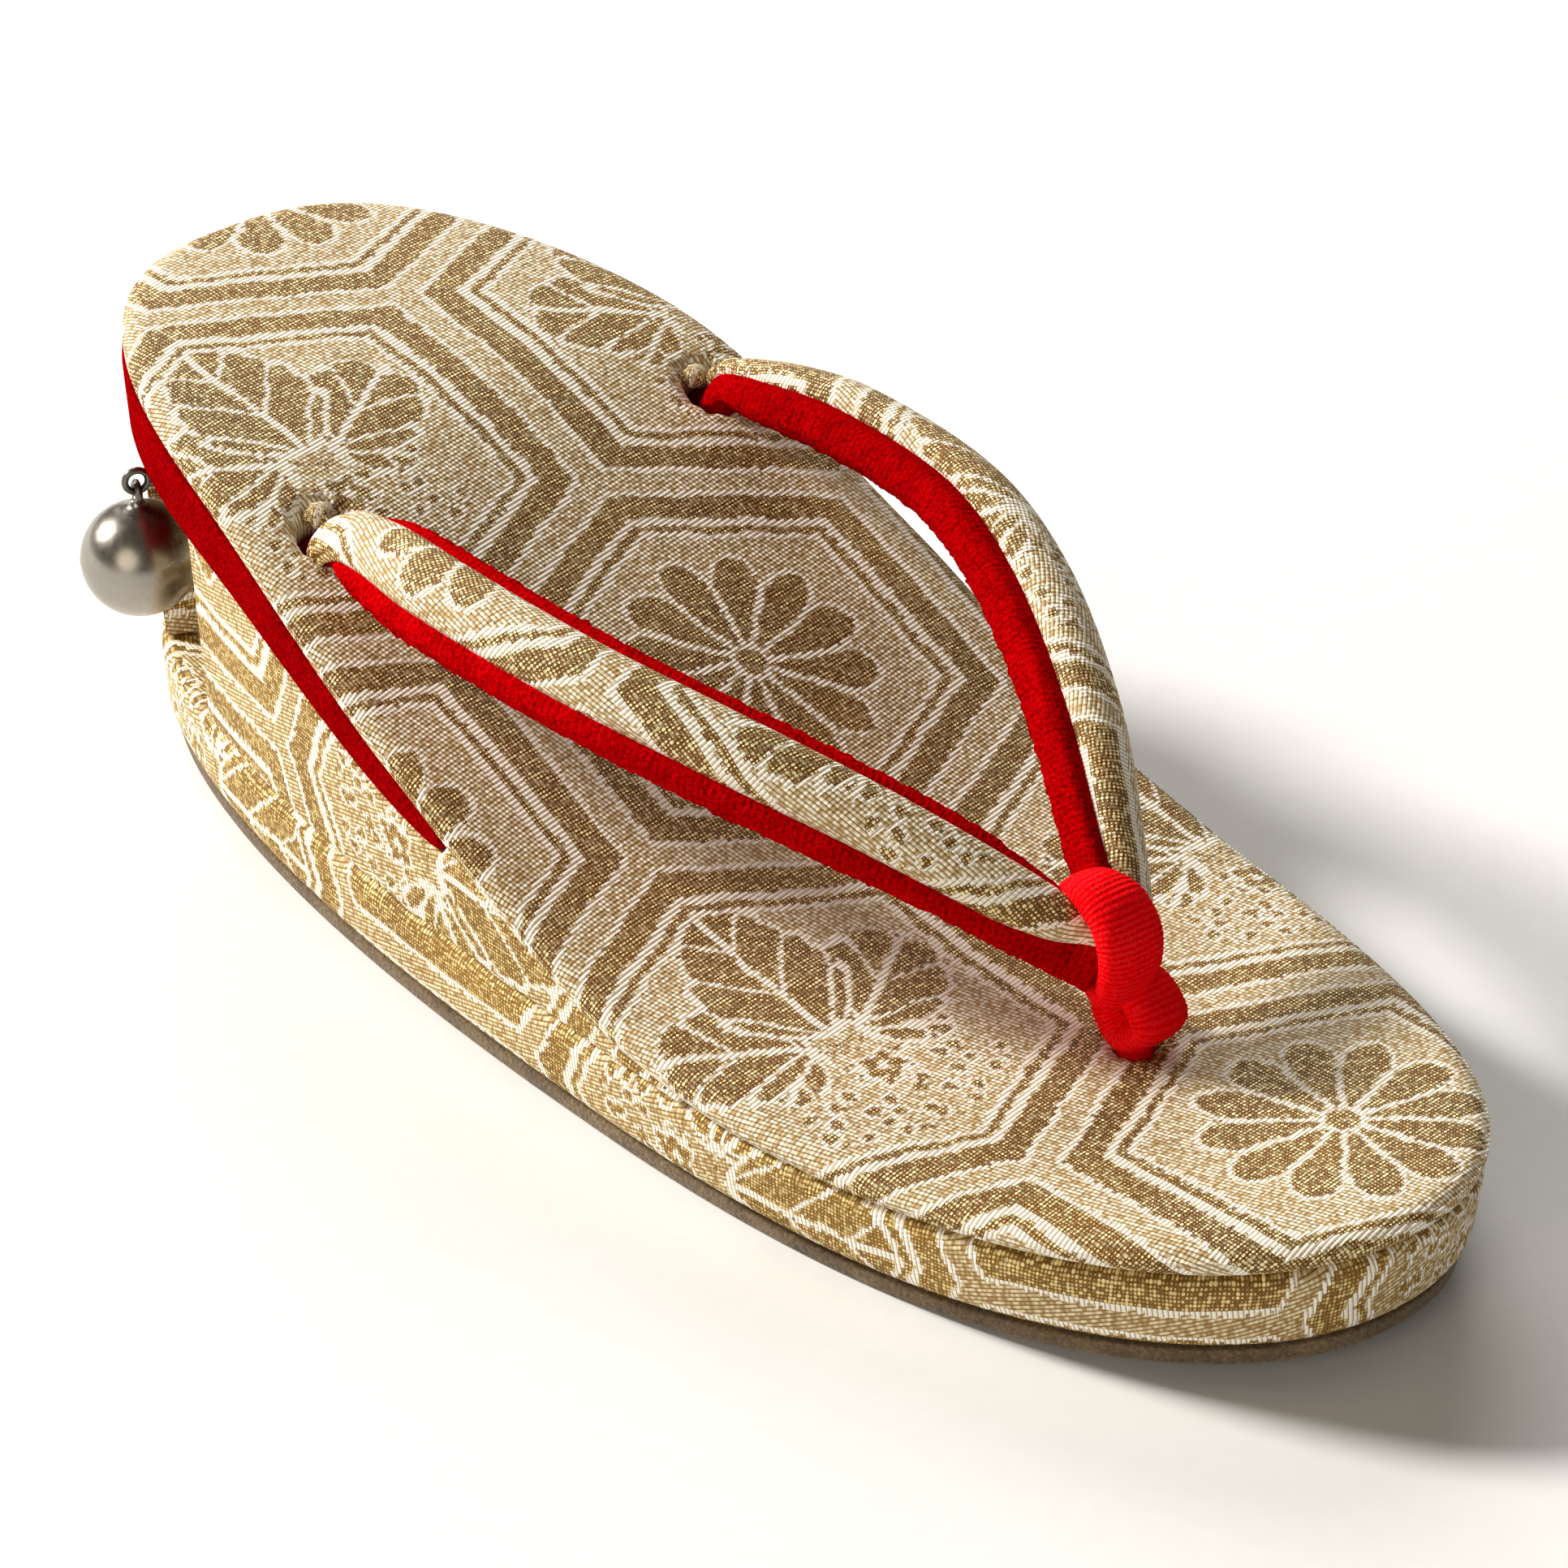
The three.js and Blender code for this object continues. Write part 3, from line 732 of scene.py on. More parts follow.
def brocade(name, dark=((80, 49, 7), (126, 84, 19)), painted_warm_light=0.0):
    """Cloth with a cream ground, white outlines and dark figures with gold thread in them."""
    made, n, shader = material(name)
    uv = n.cloth_place()
    drift = n.noise(uv, 0.16, 0.0, size="2D", out=1)
    wander = n.vector("MULTIPLY", n.apart(drift, MIDDLE), WANDER)
    place = n.vector("ADD", uv, wander)
    thread = n.vector("SNAP", place, THREADS)
    chance = n.add("ShaderNodeTexWhiteNoise", noise_dimensions="2D")
    n.put(thread, chance.inputs["Vector"])
    pick = chance.outputs["Value"]
    off = n.apart(chance.outputs["Color"], MIDDLE)
    repeat = n.add("ShaderNodeGroup")
    repeat.node_tree = REPEAT_GROUP
    n.put(n.vector("MULTIPLY_ADD", off, FRAY, thread), repeat.inputs[0])
    brown, white = repeat.outputs[0], repeat.outputs[1]

    # Ground: short weft dashes in leaning rows. Outlines: steep satin strokes.
    lean = math.radians(WEFT_LEAN)
    rows = n.steps(uv, -math.sin(lean), math.cos(lean), WEFT_ROW)
    row = n.math("FLOOR", rows)
    weft = n.math("PINGPONG", rows, 0.5)
    along = n.steps(uv, math.cos(lean), math.sin(lean), DASH)
    slub = n.noise(n.join(along, n.times(row, 7.31)), 1.0, 0.0, size="2D")
    streak = n.ramp(slub, [(0.3, (0, 0, 0)), (0.68, (1, 1, 1))])
    float_up = n.ramp(weft, [(0.0, (0, 0, 0)), (0.06, (0, 0, 0)), (0.25, (1, 1, 1))])
    steep = math.radians(SATIN_LEAN)
    satin = n.math("PINGPONG", n.steps(uv, -math.cos(steep), math.sin(steep), SATIN_STEP), 0.5)

    # Colours of the three kinds of thread
    tone = n.noise(uv, 0.045, 1.0, size="2D")
    cream = n.mix(streak, srgb(188, 158, 104), srgb(255, 247, 222))
    # Painted shade: the dark colour that fills the grooves between the raised weft rows.
    painted_gap_shade = n.mix(tone, srgb(112, 80, 36), srgb(156, 122, 66))
    ground = n.mix(float_up, painted_gap_shade, cream)
    # Painted shade: the rope darkens in the grooves between its satin strokes.
    rope = n.ramp(satin, [(0.0, srgb(164, 138, 98)), (0.07, srgb(190, 168, 132)),
                          (0.2, srgb(255, 250, 238))])
    deep = n.mix(tone, srgb(*dark[0]), srgb(*dark[1]))
    # The gold specks are gold thread with painted glint: their near-white colour shows as sparkle
    # under any lamp, as they are at most half metallic.
    gold = n.mix(pick, srgb(236, 194, 96), srgb(255, 243, 192))
    inside = n.vector("MULTIPLY", n.apart(place, thread),
                      (1 / THREADS[0], 1 / THREADS[1], 0.0))
    spread = n.length(n.apart(inside, (0.5, 0.5, 0.0)))
    lurex_and_glint = n.below(spread, n.line(pick, 0.4, 0.1))
    bronze = n.mix(lurex_and_glint, deep, gold)
    colour = n.mix(brown, ground, bronze)
    # Painted warm light: a warm tint multiplied into the colour, as if a warm lamp fell on it.
    if painted_warm_light:
        colour = n.mix(painted_warm_light, colour, srgb(*WARM_LIGHT_TINT), "MULTIPLY")
    colour = n.mix(white, colour, rope)
    metal = n.without(white, n.times(lurex_and_glint, n.blend(brown, 0.1, 0.45)))

    # Thread relief, and the tilt of each flat gold thread
    scaled = n.vector("SCALE", off)
    n.put(n.line(metal, 1.5, 0.1), scaled.node.inputs["Scale"])
    bump = n.bump(n.math("ADD", weft, satin), 0.6, 0.00025)
    n.fill(shader, {"Base Color": colour, "Metallic": metal, "Roughness": n.blend(metal, 0.7, 0.34),
                    "Normal": n.vector("NORMALIZE", n.vector("ADD", bump, scaled))})
    return made


RIB_SKEW = 0.12


def velvet(name, shades, ribs=0.0, rib_step=0.9, gloss=0.0):
    """Short pile in three shades from deep to light, with ribs across the cloth where asked."""
    made, n, shader = material(name)
    spot = n.object_place()
    pile = n.noise(spot, 2600.0, 1.0, 0.6)
    nap = n.noise(spot, 240.0, 1.0, 0.55)
    tone = n.line(pile, 0.8, n.times(nap, 0.2))
    stops = [(at, srgb(*shade)) for at, shade in zip((0.32, 0.5, 0.68), shades)]
    height = n.times(pile, 0.8)
    if ribs:
        uv = n.cloth_place()
        rib_count = n.vector("DOT_PRODUCT", uv, (1 / rib_step, RIB_SKEW, 0.0), out=1)
        rib = n.math("PINGPONG", rib_count, 0.5)
        height = n.line(rib, 2.0 * ribs, height)
        # Painted shade and highlight: the colour darkens in the troughs between ribs and lightens
        # on their crests.
        tone = n.math("ADD", tone, n.line(rib, 2.0 * ribs, -0.43 * ribs))
    n.fill(shader, {"Base Color": n.ramp(tone, stops), "Normal": n.bump(height, 0.7, 0.0003),
                    "Roughness": 0.85, "Specular IOR Level": gloss, "Sheen Weight": 0.05,
                    "Sheen Roughness": 0.4, "Sheen Tint": srgb(255, 20, 24)})
    return made


def suede(name):
    made, n, shader = material(name)
    spot = n.object_place()
    fuzz = n.noise(spot, 1900.0, 3.0, 0.65)
    wear = n.noise(spot, 130.0, 3.0, 0.6)
    tone = n.line(fuzz, 0.6, n.times(wear, 0.4))
    colour = n.ramp(tone, [(0.3, srgb(58, 46, 33)), (0.5, srgb(104, 86, 63)),
                           (0.72, srgb(148, 126, 96))])
    n.fill(shader, {"Base Color": colour, "Normal": n.bump(fuzz, 0.9, 0.0004), "Roughness": 0.95,
                    "Specular IOR Level": 0.15, "Sheen Weight": 0.2})
    return made


def steel(name, light, dark, rough):
    made, n, shader = material(name)
    spot = n.object_place()
    satin = n.noise(spot, 900.0, 3.0, 0.6)
    smear = n.noise(spot, 160.0, 2.0, 0.5)
    n.fill(shader, {"Base Color": n.mix(smear, dark, light), "Metallic": 1.0,
                    "Roughness": n.line(satin, 0.16, rough - 0.08),
                    "Normal": n.bump(satin, 0.05, 0.0001)})
    return made


BROCADE_TOP = brocade("brocade_top")
# Painted light: the walls' copy has lighter browns and a warm tint, because the lamp falls on the
# walls.
BROCADE_WALL_LIT = brocade("brocade_wall_painted_light", ((108, 78, 20), (152, 116, 40)), painted_warm_light=0.42)
VELVET = velvet("red_velvet", ((118, 0, 2), (168, 0, 4), (200, 3, 8)), ribs=0.14)
# Painted shade: the far strap's lining is a darker copy of the red velvet, for the lesser light it
# gets.
VELVET_FAR_SHADED = velvet("red_velvet_far_painted_shade", ((104, 0, 2), (150, 0, 3), (180, 2, 6)), ribs=0.14)
# Painted shade: the red layer is a darker copy of the red velvet, to take back the lamp light that
# falls on it.
VELVET_TRIM_SHADED = velvet("red_trim_painted_shade", ((88, 0, 2), (130, 0, 3), (160, 3, 6)))
# Painted light: the tie is a lighter copy of the red velvet, as if more brightly lit, and its pink
# top shade is a painted highlight on the rib crests.
VELVET_TIE_LIT = velvet("red_cord_painted_light", ((236, 0, 6), (255, 2, 10), (255, 30, 40)),
                    ribs=0.3, rib_step=0.6, gloss=0.02)
SUEDE = suede("outsole_suede")
STEEL = steel("satin_steel", (0.36, 0.334, 0.295), (0.29, 0.267, 0.238), 0.29)
WIRE = steel("dark_wire", (0.2, 0.185, 0.165), (0.1, 0.095, 0.088), 0.34)


def finish_piece(obj, mat, body, slot, *nodes):
    obj.data.materials.clear()
    obj.data.materials.append(mat)
    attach(obj, body)
    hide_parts(*nodes)


# ---- sole

def plain_cloth(floor_rings, rings, top_rings, outward, along):
    rows = [np.stack([along, np.concatenate([r[:, 2], r[:1, 2]])], -1)
            for block in (floor_rings, rings, top_rings) for r in block]
    return np.array(rows)


outsole = layer("outsole_sheet", spring, outsole_top, round_edge(0.5, 0.35, 0.35, 0.3, 4),
                plain_cloth, OUTSOLE_INSET)
finish_piece(outsole, SUEDE, "sandal", "suede", "outsole")

base = layer("base_wrap", base_bottom, base_top, round_edge(2.6, 2.2, 2.4, 1.8),
             wall_cloth(166.5, 6.7, True))
finish_piece(base, BROCADE_WALL_LIT, "sandal", "brocade", "base_layer")

wedge_end = station_where(lambda x: wedge_top(x) - wedge_bottom(x) > THINNEST_EDGE)
red_end = station_where(lambda x: red_top(x) - red_bottom(x) > THINNEST_EDGE)

wedge = layer("heel_wedge_wrap", wedge_bottom, wedge_top, round_edge(0.9, 0.8, 0.9, 0.8, 5),
              wall_cloth(114.7, 23.7, False), WEDGE_INSET, wedge_end)


def notch_box(name, middle, along, out, size):
    """A box that cuts the notch, with cloth coordinates in millimetres for the notch's walls."""
    ends = (-0.5, 0.5)
    local = np.array([(i, j, k) for i in ends for j in ends for k in ends]) * size
    axes = np.array([(*along, 0.0), (*out, 0.0), (0.0, 0.0, 1.0)])
    end_faces = [(2, 3, 1, 0), (5, 7, 6, 4)]
    back_faces = [(1, 5, 4, 0), (6, 7, 3, 2)]
    flat_faces = [(4, 6, 2, 0), (3, 7, 5, 1)]
    uvs = [local[c][[1, 2]] + NOTCH_END_CLOTH for face in end_faces for c in face]
    uvs += [local[c][[0, 2]] + NOTCH_BACK_CLOTH for face in back_faces for c in face]
    uvs += [local[c][[0, 1]] for face in flat_faces for c in face]
    faces = end_faces + back_faces + flat_faces
    obj = mesh_object(name, np.array(middle) + local @ axes, faces, uvs)
    obj.data.polygons.foreach_set("use_smooth", [False] * len(faces))
    return obj


def outline_at(station):
    """A point of the right side's outline."""
    px, py, _ = outline_point(np.array([share_at(station)]), 0.0)
    return np.array([px[0], -py[0]])


notch_from = outline_at(NOTCH_STATIONS[0])
notch_along = outline_at(NOTCH_STATIONS[1]) - notch_from
notch_length = float(np.linalg.norm(notch_along))
notch_along /= notch_length
notch_out = np.array([notch_along[1], -notch_along[0]])
notch_low = float(base_top(0.0)) - NOTCH_MARGIN
notch_high = float(wedge_top(0.0)) + NOTCH_MARGIN
notch_middle = notch_from + notch_along * notch_length / 2
notch_middle = notch_middle + notch_out * (NOTCH_OVERRUN - NOTCH_DEPTH) / 2
cutter = notch_box("notch_cutter", (*notch_middle, (notch_low + notch_high) / 2),
                   notch_along, notch_out,
                   (notch_length, NOTCH_DEPTH + NOTCH_OVERRUN, notch_high - notch_low))
cut(wedge, cutter)
finish_piece(wedge, BROCADE_WALL_LIT, "sandal", "brocade", "heel_wedge")


def red_inset(x):
    return RED_INSET + RED_DRAWN_IN * smoothstep(x, *RED_DRAW_STATIONS)


red = layer("red_velvet_layer", red_bottom, red_top, round_edge(0.9, 0.7, 0.9, 0.7, 5),
            plain_cloth, red_inset, red_end)
finish_piece(red, VELVET_TRIM_SHADED, "sandal", "velvet", "red_layer")

footbed = layer("footbed_pad", bed_bottom, bed_top, round_edge(1.7, 1.6, 1.9, 3.6, 9),
                top_cloth, crown=FOOTBED_CROWN)

# The holes' mouths, as (wider than the hole, above the footbed)
FUNNEL = ((0.0, -12.0), (0.0, -2.6), (0.2, -1.7), (0.6, -1.0), (1.2, -0.5), (2.0, -0.12),
          (2.9, 0.25), (3.6, 0.7), (3.7, 6.0))
PUCKER = 0.16
PUCKERS = 11


def funnel(name, x, y, radius):
    """A cutter for a hole with a drawn-in, rounded mouth."""
    surface = float(bed_top(x)) + FOOTBED_CROWN
    turn = full_turn(72)
    slope = float(bed_top(x + 1) - bed_top(x - 1)) / 2
    rings = []
    uvs = []
    for wider, up in FUNNEL:
        out, side = (radius + wider) * np.cos(turn), (radius + wider) * np.sin(turn)
        pucker = PUCKER * np.cos(PUCKERS * turn) * (-2 < up < 0)
        rings.append(np.stack([x + out, y + side, surface + up + slope * out + pucker], -1))
        uvs.append(np.stack([arc_at(x) + out, y + side], -1))
    return loft(name, rings, closed_columns(np.array(uvs)), cap=True)


for hole in (RIGHT_HOLE, LEFT_HOLE, FRONT_HOLE):
    cut(footbed, funnel("hole_cutter", *hole))
finish_piece(footbed, BROCADE_TOP, "sandal", "brocade", "footbed")


# ---- strap

STRAP_LINE = {
    -1: np.array([(59.4, -30.5, 44.8), (60.4, -30.5, 47.8), (64.0, -30.3, 50.6),
                  (71.0, -30.8, 52.0), (83.0, -32.35, 52.95), (105.5, -29.95, 51.25),
                  (121.6, -24.5, 47.95), (141.2, -15.3, 42.1), (157.0, -6.6, 35.5),
                  (166.2, -1.8, 31.0)]),
    1: np.array([(59.9, 33.0, 44.8), (60.9, 33.0, 47.8), (64.5, 32.8, 50.5),
                 (71.5, 33.0, 51.9), (83.5, 33.95, 52.95), (105.5, 32.95, 52.15),
                 (121.6, 28.0, 49.35), (141.2, 18.1, 43.1), (157.0, 7.8, 35.9),
                 (166.2, 1.8, 31.0)]),
}
STRAP_WIDTH = (6.4, 7.0, 9.0, 11.4, 12.6, 12.6, 12.6, 11.8, 10.2, 8.4)
STRAP_THICK = (5.6, 5.4, 5.6, 7.4, 8.4, 8.4, 8.4, 8.0, 7.0, 6.0)
STRAP_LEAN = (20, 22, 24, 26, 27, 28, 29, 33, 43, 52)


def catmull(points, t, closed=False):
    """Places and directions at shares t of a centripetal Catmull-Rom curve through the points."""
    points = np.asarray(points, float)
    count = len(points)
    spans = count if closed else count - 1
    place = np.clip(t, 0, 1) * spans
    i = np.minimum(np.floor(place).astype(int), spans - 1)
    w = place - i
    if closed:
        p0, p1, p2, p3 = (points[(i + k) % count] for k in (-1, 0, 1, 2))
    else:
        before, after = 2 * points[0] - points[1], 2 * points[-1] - points[-2]
        longer = np.concatenate([[before], points, [after]])
        p0, p1, p2, p3 = (longer[i + k] for k in (0, 1, 2, 3))
    d0, d1, d2 = (np.maximum(np.linalg.norm(b - a, axis=1, keepdims=True) ** 0.5, 1e-4)
                  for a, b in ((p0, p1), (p1, p2), (p2, p3)))
    t1 = ((p1 - p0) / d0 - (p2 - p0) / (d0 + d1) + (p2 - p1) / d1) * d1
    t2 = ((p2 - p1) / d1 - (p3 - p1) / (d1 + d2) + (p3 - p2) / d2) * d1
    c2 = -3 * p1 + 3 * p2 - 2 * t1 - t2
    c3 = 2 * p1 - 2 * p2 + t1 + t2
    w = w[:, None]
    spot = p1 + t1 * w + c2 * w ** 2 + c3 * w ** 3
    way = t1 + 2 * c2 * w + 3 * c3 * w ** 2
    return spot, way / np.linalg.norm(way, axis=1, keepdims=True)


STRAP_ROWS = 260
PILE = 0.02
fuzz = np.random.default_rng(7)


def strap_frames(side):
    """A strap side's line: places, normals, outward directions, half sizes and arc."""
    t = np.linspace(0, 1, STRAP_ROWS)
    spot, way = catmull(STRAP_LINE[side], t)
    index = np.arange(len(STRAP_WIDTH))
    at = t * index[-1]
    lean = np.radians(np.interp(at, index, STRAP_LEAN))
    normal = np.stack([np.zeros_like(lean), side * np.sin(lean), np.cos(lean)], -1)
    normal -= way * (normal * way).sum(1, keepdims=True)
    normal /= np.linalg.norm(normal, axis=1, keepdims=True)
    out = np.cross(normal, way) * side
    wide = monotone(at, index, STRAP_WIDTH) / 2
    thick = monotone(at, index, STRAP_THICK) / 2
    arc = running(np.linalg.norm(np.diff(spot, axis=0), axis=1))
    return SimpleNamespace(spot=spot, normal=normal, out=out, wide=wide, thick=thick, arc=arc)


def section_sweep(name, frames, section, cloth):
    """Sweeps section(row) = points (out, normal) along a strap side, in cloth cut at a slant."""
    start_u, start_v, slant = cloth
    rings = []
    uvs = []
    for k, arc in enumerate(frames.arc):
        e, h = section(k)
        rings.append(frames.spot[k] + frames.out[k] * e[:, None] + frames.normal[k] * h[:, None])
        loop = running(np.hypot(np.diff(e, append=e[0]), np.diff(h, append=h[0])))
        along = arc * math.cos(slant) - loop * math.sin(slant)
        across = arc * math.sin(slant) + loop * math.cos(slant)
        uvs.append(np.stack([start_u + along, start_v + across], -1))
    return loft(name, rings, uvs, cap=True)


# Sections are drawn at the strap's full half sizes and scaled along its length
FULL_WIDE = 6.3
FULL_THICK = 4.2
DOME_HALF = 4.3
DOME_RISE = 3.5
DOME_EDGE = 0.7
DOME_UNDER = 0.3
PLEATS = 9
PLEAT_DEPTH = 0.09
LINING_HALF = 6.5
LINING_MIDDLE = -1.65
LINING_ABOVE = 2.5
LINING_FRONT = 24.0


def dome_section(frames, side):
    """The padded upper face: pleated at its hole, narrower in front where it meets the tie."""
    turn = np.linspace(0, np.pi, 25)

    def section(k):
        arc = frames.arc[k]
        left = frames.arc[-1] - arc
        w = frames.wide[k] / FULL_WIDE
        h = frames.thick[k] / FULL_THICK
        gather = math.exp(-((arc - 5.0) / 5.0) ** 2)
        fade = smoothstep(left, 0.0, 15.0) if side < 0 else smoothstep(left, -14.0, 8.0)
        half = DOME_HALF * (0.75 + 0.25 * fade) + 1.2 * gather
        middle = -1.3 * (1 - fade) if side < 0 else 0.6
        pleat = 1 + PLEAT_DEPTH * gather * np.cos(turn * PLEATS)
        blunt = 1 - 0.7 * (1 - smoothstep(left, 1.0, 9.0)) ** 2 if side < 0 else 1.0
        e = (middle + half * np.cos(turn) * pleat * blunt) * w
        crest = DOME_RISE * np.sin(turn) ** 0.8 * pleat * (0.72 + 0.28 * fade) * blunt
        n = (DOME_EDGE + crest) * h
        under = np.linspace(e[-1], e[0], 9)[1:-1]
        low = np.full(len(under), DOME_UNDER * h)
        return np.concatenate([e, under]), np.concatenate([n, low])
    return section


def lining_section(frames, side):
    """The velvet underneath: drawn in at its hole, shifted outward in front."""
    turn = full_turn(48)
    c, s = np.cos(turn), np.sin(turn)

    def section(k):
        arc = frames.arc[k]
        w = frames.wide[k] / FULL_WIDE
        h = frames.thick[k] / FULL_THICK
        shrink = 1 - 0.35 * math.exp(-((arc - 3.0) / 5.0) ** 2)
        front = 1 - smoothstep(frames.arc[-1] - arc, 0.0, LINING_FRONT)
        reach = LINING_HALF + (1.8 if side > 0 else 1.0) * front * (c > 0)
        reach = reach - 2.4 * front * (c < 0) * (side < 0)
        e = reach * np.sign(c) * np.abs(c) ** 0.45 * shrink
        deep = 2.7 + 0.9 * front if side < 0 else 3.4
        tall = np.where(s < 0, deep, LINING_ABOVE)
        n = LINING_MIDDLE + tall * np.sign(s) * np.abs(s) ** 0.55
        pile = 1 + PILE * fuzz.standard_normal(len(turn))
        return e * w * pile, n * h * pile
    return section


STRAP_CLOTH = {-1: (85.7, -84.9, math.radians(30)), 1: (-11.2, 35.0, 0.0)}
PLAIN_CLOTH = (0.0, 0.0, 0.0)
for side, word in ((-1, "right"), (1, "left")):
    frames = strap_frames(side)
    dome = section_sweep(f"strap_{word}_brocade", frames, dome_section(frames, side),
                         STRAP_CLOTH[side])
    finish_piece(dome, BROCADE_TOP, "sandal", "brocade", "hanao_strap")
    lining = section_sweep(f"strap_{word}_lining", frames, lining_section(frames, side),
                           PLAIN_CLOTH)
    finish_piece(lining, VELVET if side < 0 else VELVET_FAR_SHADED, "sandal", "velvet", "hanao_strap")


TUCK_FOLDS = 7
TUCK_DEPTH = 0.11


def tuck(name, hole, shift, size):
    """Cloth of the strap end bunched up beside the strap in its hole."""
    low = float(bed_top(hole[0])) + FOOTBED_CROWN
    turn = np.linspace(0, 2 * np.pi, 49)
    level = np.ones_like(turn)
    rings = []
    uvs = []
    for a in np.linspace(-np.pi / 2, np.pi / 2, 25):
        fold = 1 + TUCK_DEPTH * np.cos(TUCK_FOLDS * turn + 2 * a) * math.cos(a)
        ring = np.stack([hole[0] + shift[0] + size[0] * math.cos(a) * np.cos(turn) * fold,
                         hole[1] + shift[1] + size[1] * math.cos(a) * np.sin(turn) * fold,
                         level * (low + shift[2] + size[2] * math.sin(a))], -1)
        rings.append(ring[:-1])
        uvs.append(np.stack([STRAP_CLOTH[-1][0] + 3 * turn, level * (18 + 4 * a)], -1))
    obj = loft(name, rings, uvs, join=0.001)
    finish_piece(obj, BROCADE_TOP, "sandal", "brocade", "hanao_strap")


tuck("strap_right_tuck", RIGHT_HOLE, (-3.2, 1.2, 0.1), (1.8, 2.1, 1.7))
tuck("strap_left_tuck", LEFT_HOLE, (-3.0, -0.6, -0.2), (1.7, 2.0, 1.5))


# ---- front tie

TIE_EYE = np.array([(170.7, 22.4, 8.0), (167.5, 25.4, 7.6), (164.2, 22.6, 8.0), (167.4, 19.5, 8.6)])
TIE_LOOP = np.array([(166.6, 26.0, 8.2), (168.0, 29.5, 9.2), (167.6, 33.4, 9.4),
                     (165.2, 36.4, 8.8), (161.6, 37.0, 7.4), (158.8, 34.8, 5.0),
                     (159.2, 30.6, 4.4), (162.4, 26.8, 5.2)])
TIE_THICKNESS = 4.0
TIE_RIB = 0.6
TIE_RIB_HEIGHT = 0.012
TIE_RIB_SKEW = 0.35
STEM_DEPTH = 3.2
STEM_TOP = 20.4
STEM_RADIUS = 2.2


def tie_band(name, table, offset, steps):
    """A closed ribbed band through the table's rows of (station, height, width)."""
    t = np.linspace(0, 1, steps + 1)[:-1]
    points = np.stack([table[:, 0], np.full(len(table), offset), table[:, 1]], -1)
    spot, way = catmull(points, t, True)
    place = t * len(table)
    row = np.floor(place).astype(int)
    here, there = table[row, 2], table[(row + 1) % len(table), 2]
    wide = here + (there - here) * smoothstep(place - row, 0, 1)
    across = np.array([0.0, 1.0, 0.0])
    normal = np.cross(way, across)
    arc = running(np.linalg.norm(np.diff(spot, axis=0), axis=1))
    length = arc[-1] + float(np.linalg.norm(spot[0] - spot[-1]))
    ribs = round(length / TIE_RIB)
    turn = full_turn(36)
    c, s = np.cos(turn), np.sin(turn)
    loop = np.arange(37) * 0.5
    rings = []
    uvs = []
    for k in range(steps):
        wave = np.cos(2 * np.pi * (arc[k] / length * ribs + TIE_RIB_SKEW * c))
        grow = 1 + TIE_RIB_HEIGHT * wave
        y = wide[k] / 2 * np.sign(c) * np.abs(c) ** 0.75 * grow
        n = TIE_THICKNESS / 2 * np.sign(s) * np.abs(s) ** 0.85 * grow
        rings.append(spot[k] + across * y[:, None] + normal[k] * n[:, None])
        uvs.append(np.stack([np.full(37, arc[k]), loop], -1))
    rings.append(rings[0])
    uvs.append(np.stack([np.full(37, length), loop], -1))
    return loft(name, rings, uvs, join=0.001)


def tie_stem():
    x, y, _ = FRONT_HOLE
    heights = np.linspace(float(bed_top(x)) - STEM_DEPTH, STEM_TOP, 24)
    rings = []
    for z in heights:
        r = STEM_RADIUS + 0.1 * math.cos(2 * math.pi * z / TIE_RIB / 1.6)
        rings.append([(x + r * math.cos(a), y + r * math.sin(a), z) for a in full_turn(32)])
    uvs = [[(z, a) for a in np.arange(33) * 0.6] for z in heights]
    return loft("tie_stem", rings, uvs, cap=True)


for piece in (tie_band("tie_loop", TIE_LOOP, 0.0, 400),
              tie_band("tie_eye", TIE_EYE, FRONT_HOLE[1], 260), tie_stem()):
    finish_piece(piece, VELVET_TIE_LIT, "sandal", "velvet", "front_tie")


# ---- bell and hook

BELL_RADIUS = 7.5
BELL_HEIGHT = 30.8
EYE_HEIGHT = 41.9
EYE_RADIUS = 1.5
EYE_OUT = 1.4
HOOK_WIRE = 0.45
LOOP_RADIUS = 1.25
LOOP_WIRE = 0.45
LOOP_PLAY = 0.25
EYE_ALONG = 8.3
PIN_DROP = 0.6
BELL_STEPS = 60
BEAD = 0.07
BEAD_HALF = 0.25
NECK_FROM = 7.2
NECK = ((1.95, 7.3), (1.6, 7.5), (1.2, 7.66), (1.0, 7.95), (0.9, 8.3), (0.72, 8.5), (0.0, 8.55))
WIRE_SIDES = 16
eye = notch_from + notch_along * EYE_ALONG + notch_out * EYE_OUT


def lathe(name, rows, centre):
    x, y = centre
    rings = [[(x + r * math.cos(a), y + r * math.sin(a), z) for a in full_turn(72)]
             for r, z in rows]
    return loft(name, rings, join=0.0005)


def torus(name, centre, axis, radius, wire):
    axis = np.array(axis, float)
    up = np.array([0.0, 0.0, 1.0])
    flat = np.cross(axis, up)
    rings = []
    for a in np.linspace(0, 2 * np.pi, 65):
        out = flat * math.cos(a) + up * math.sin(a)
        middle = np.array(centre) + out * radius
        rings.append([middle + (out * math.cos(b) + axis * math.sin(b)) * wire
                      for b in full_turn(WIRE_SIDES)])
    return loft(name, rings, join=0.0005)


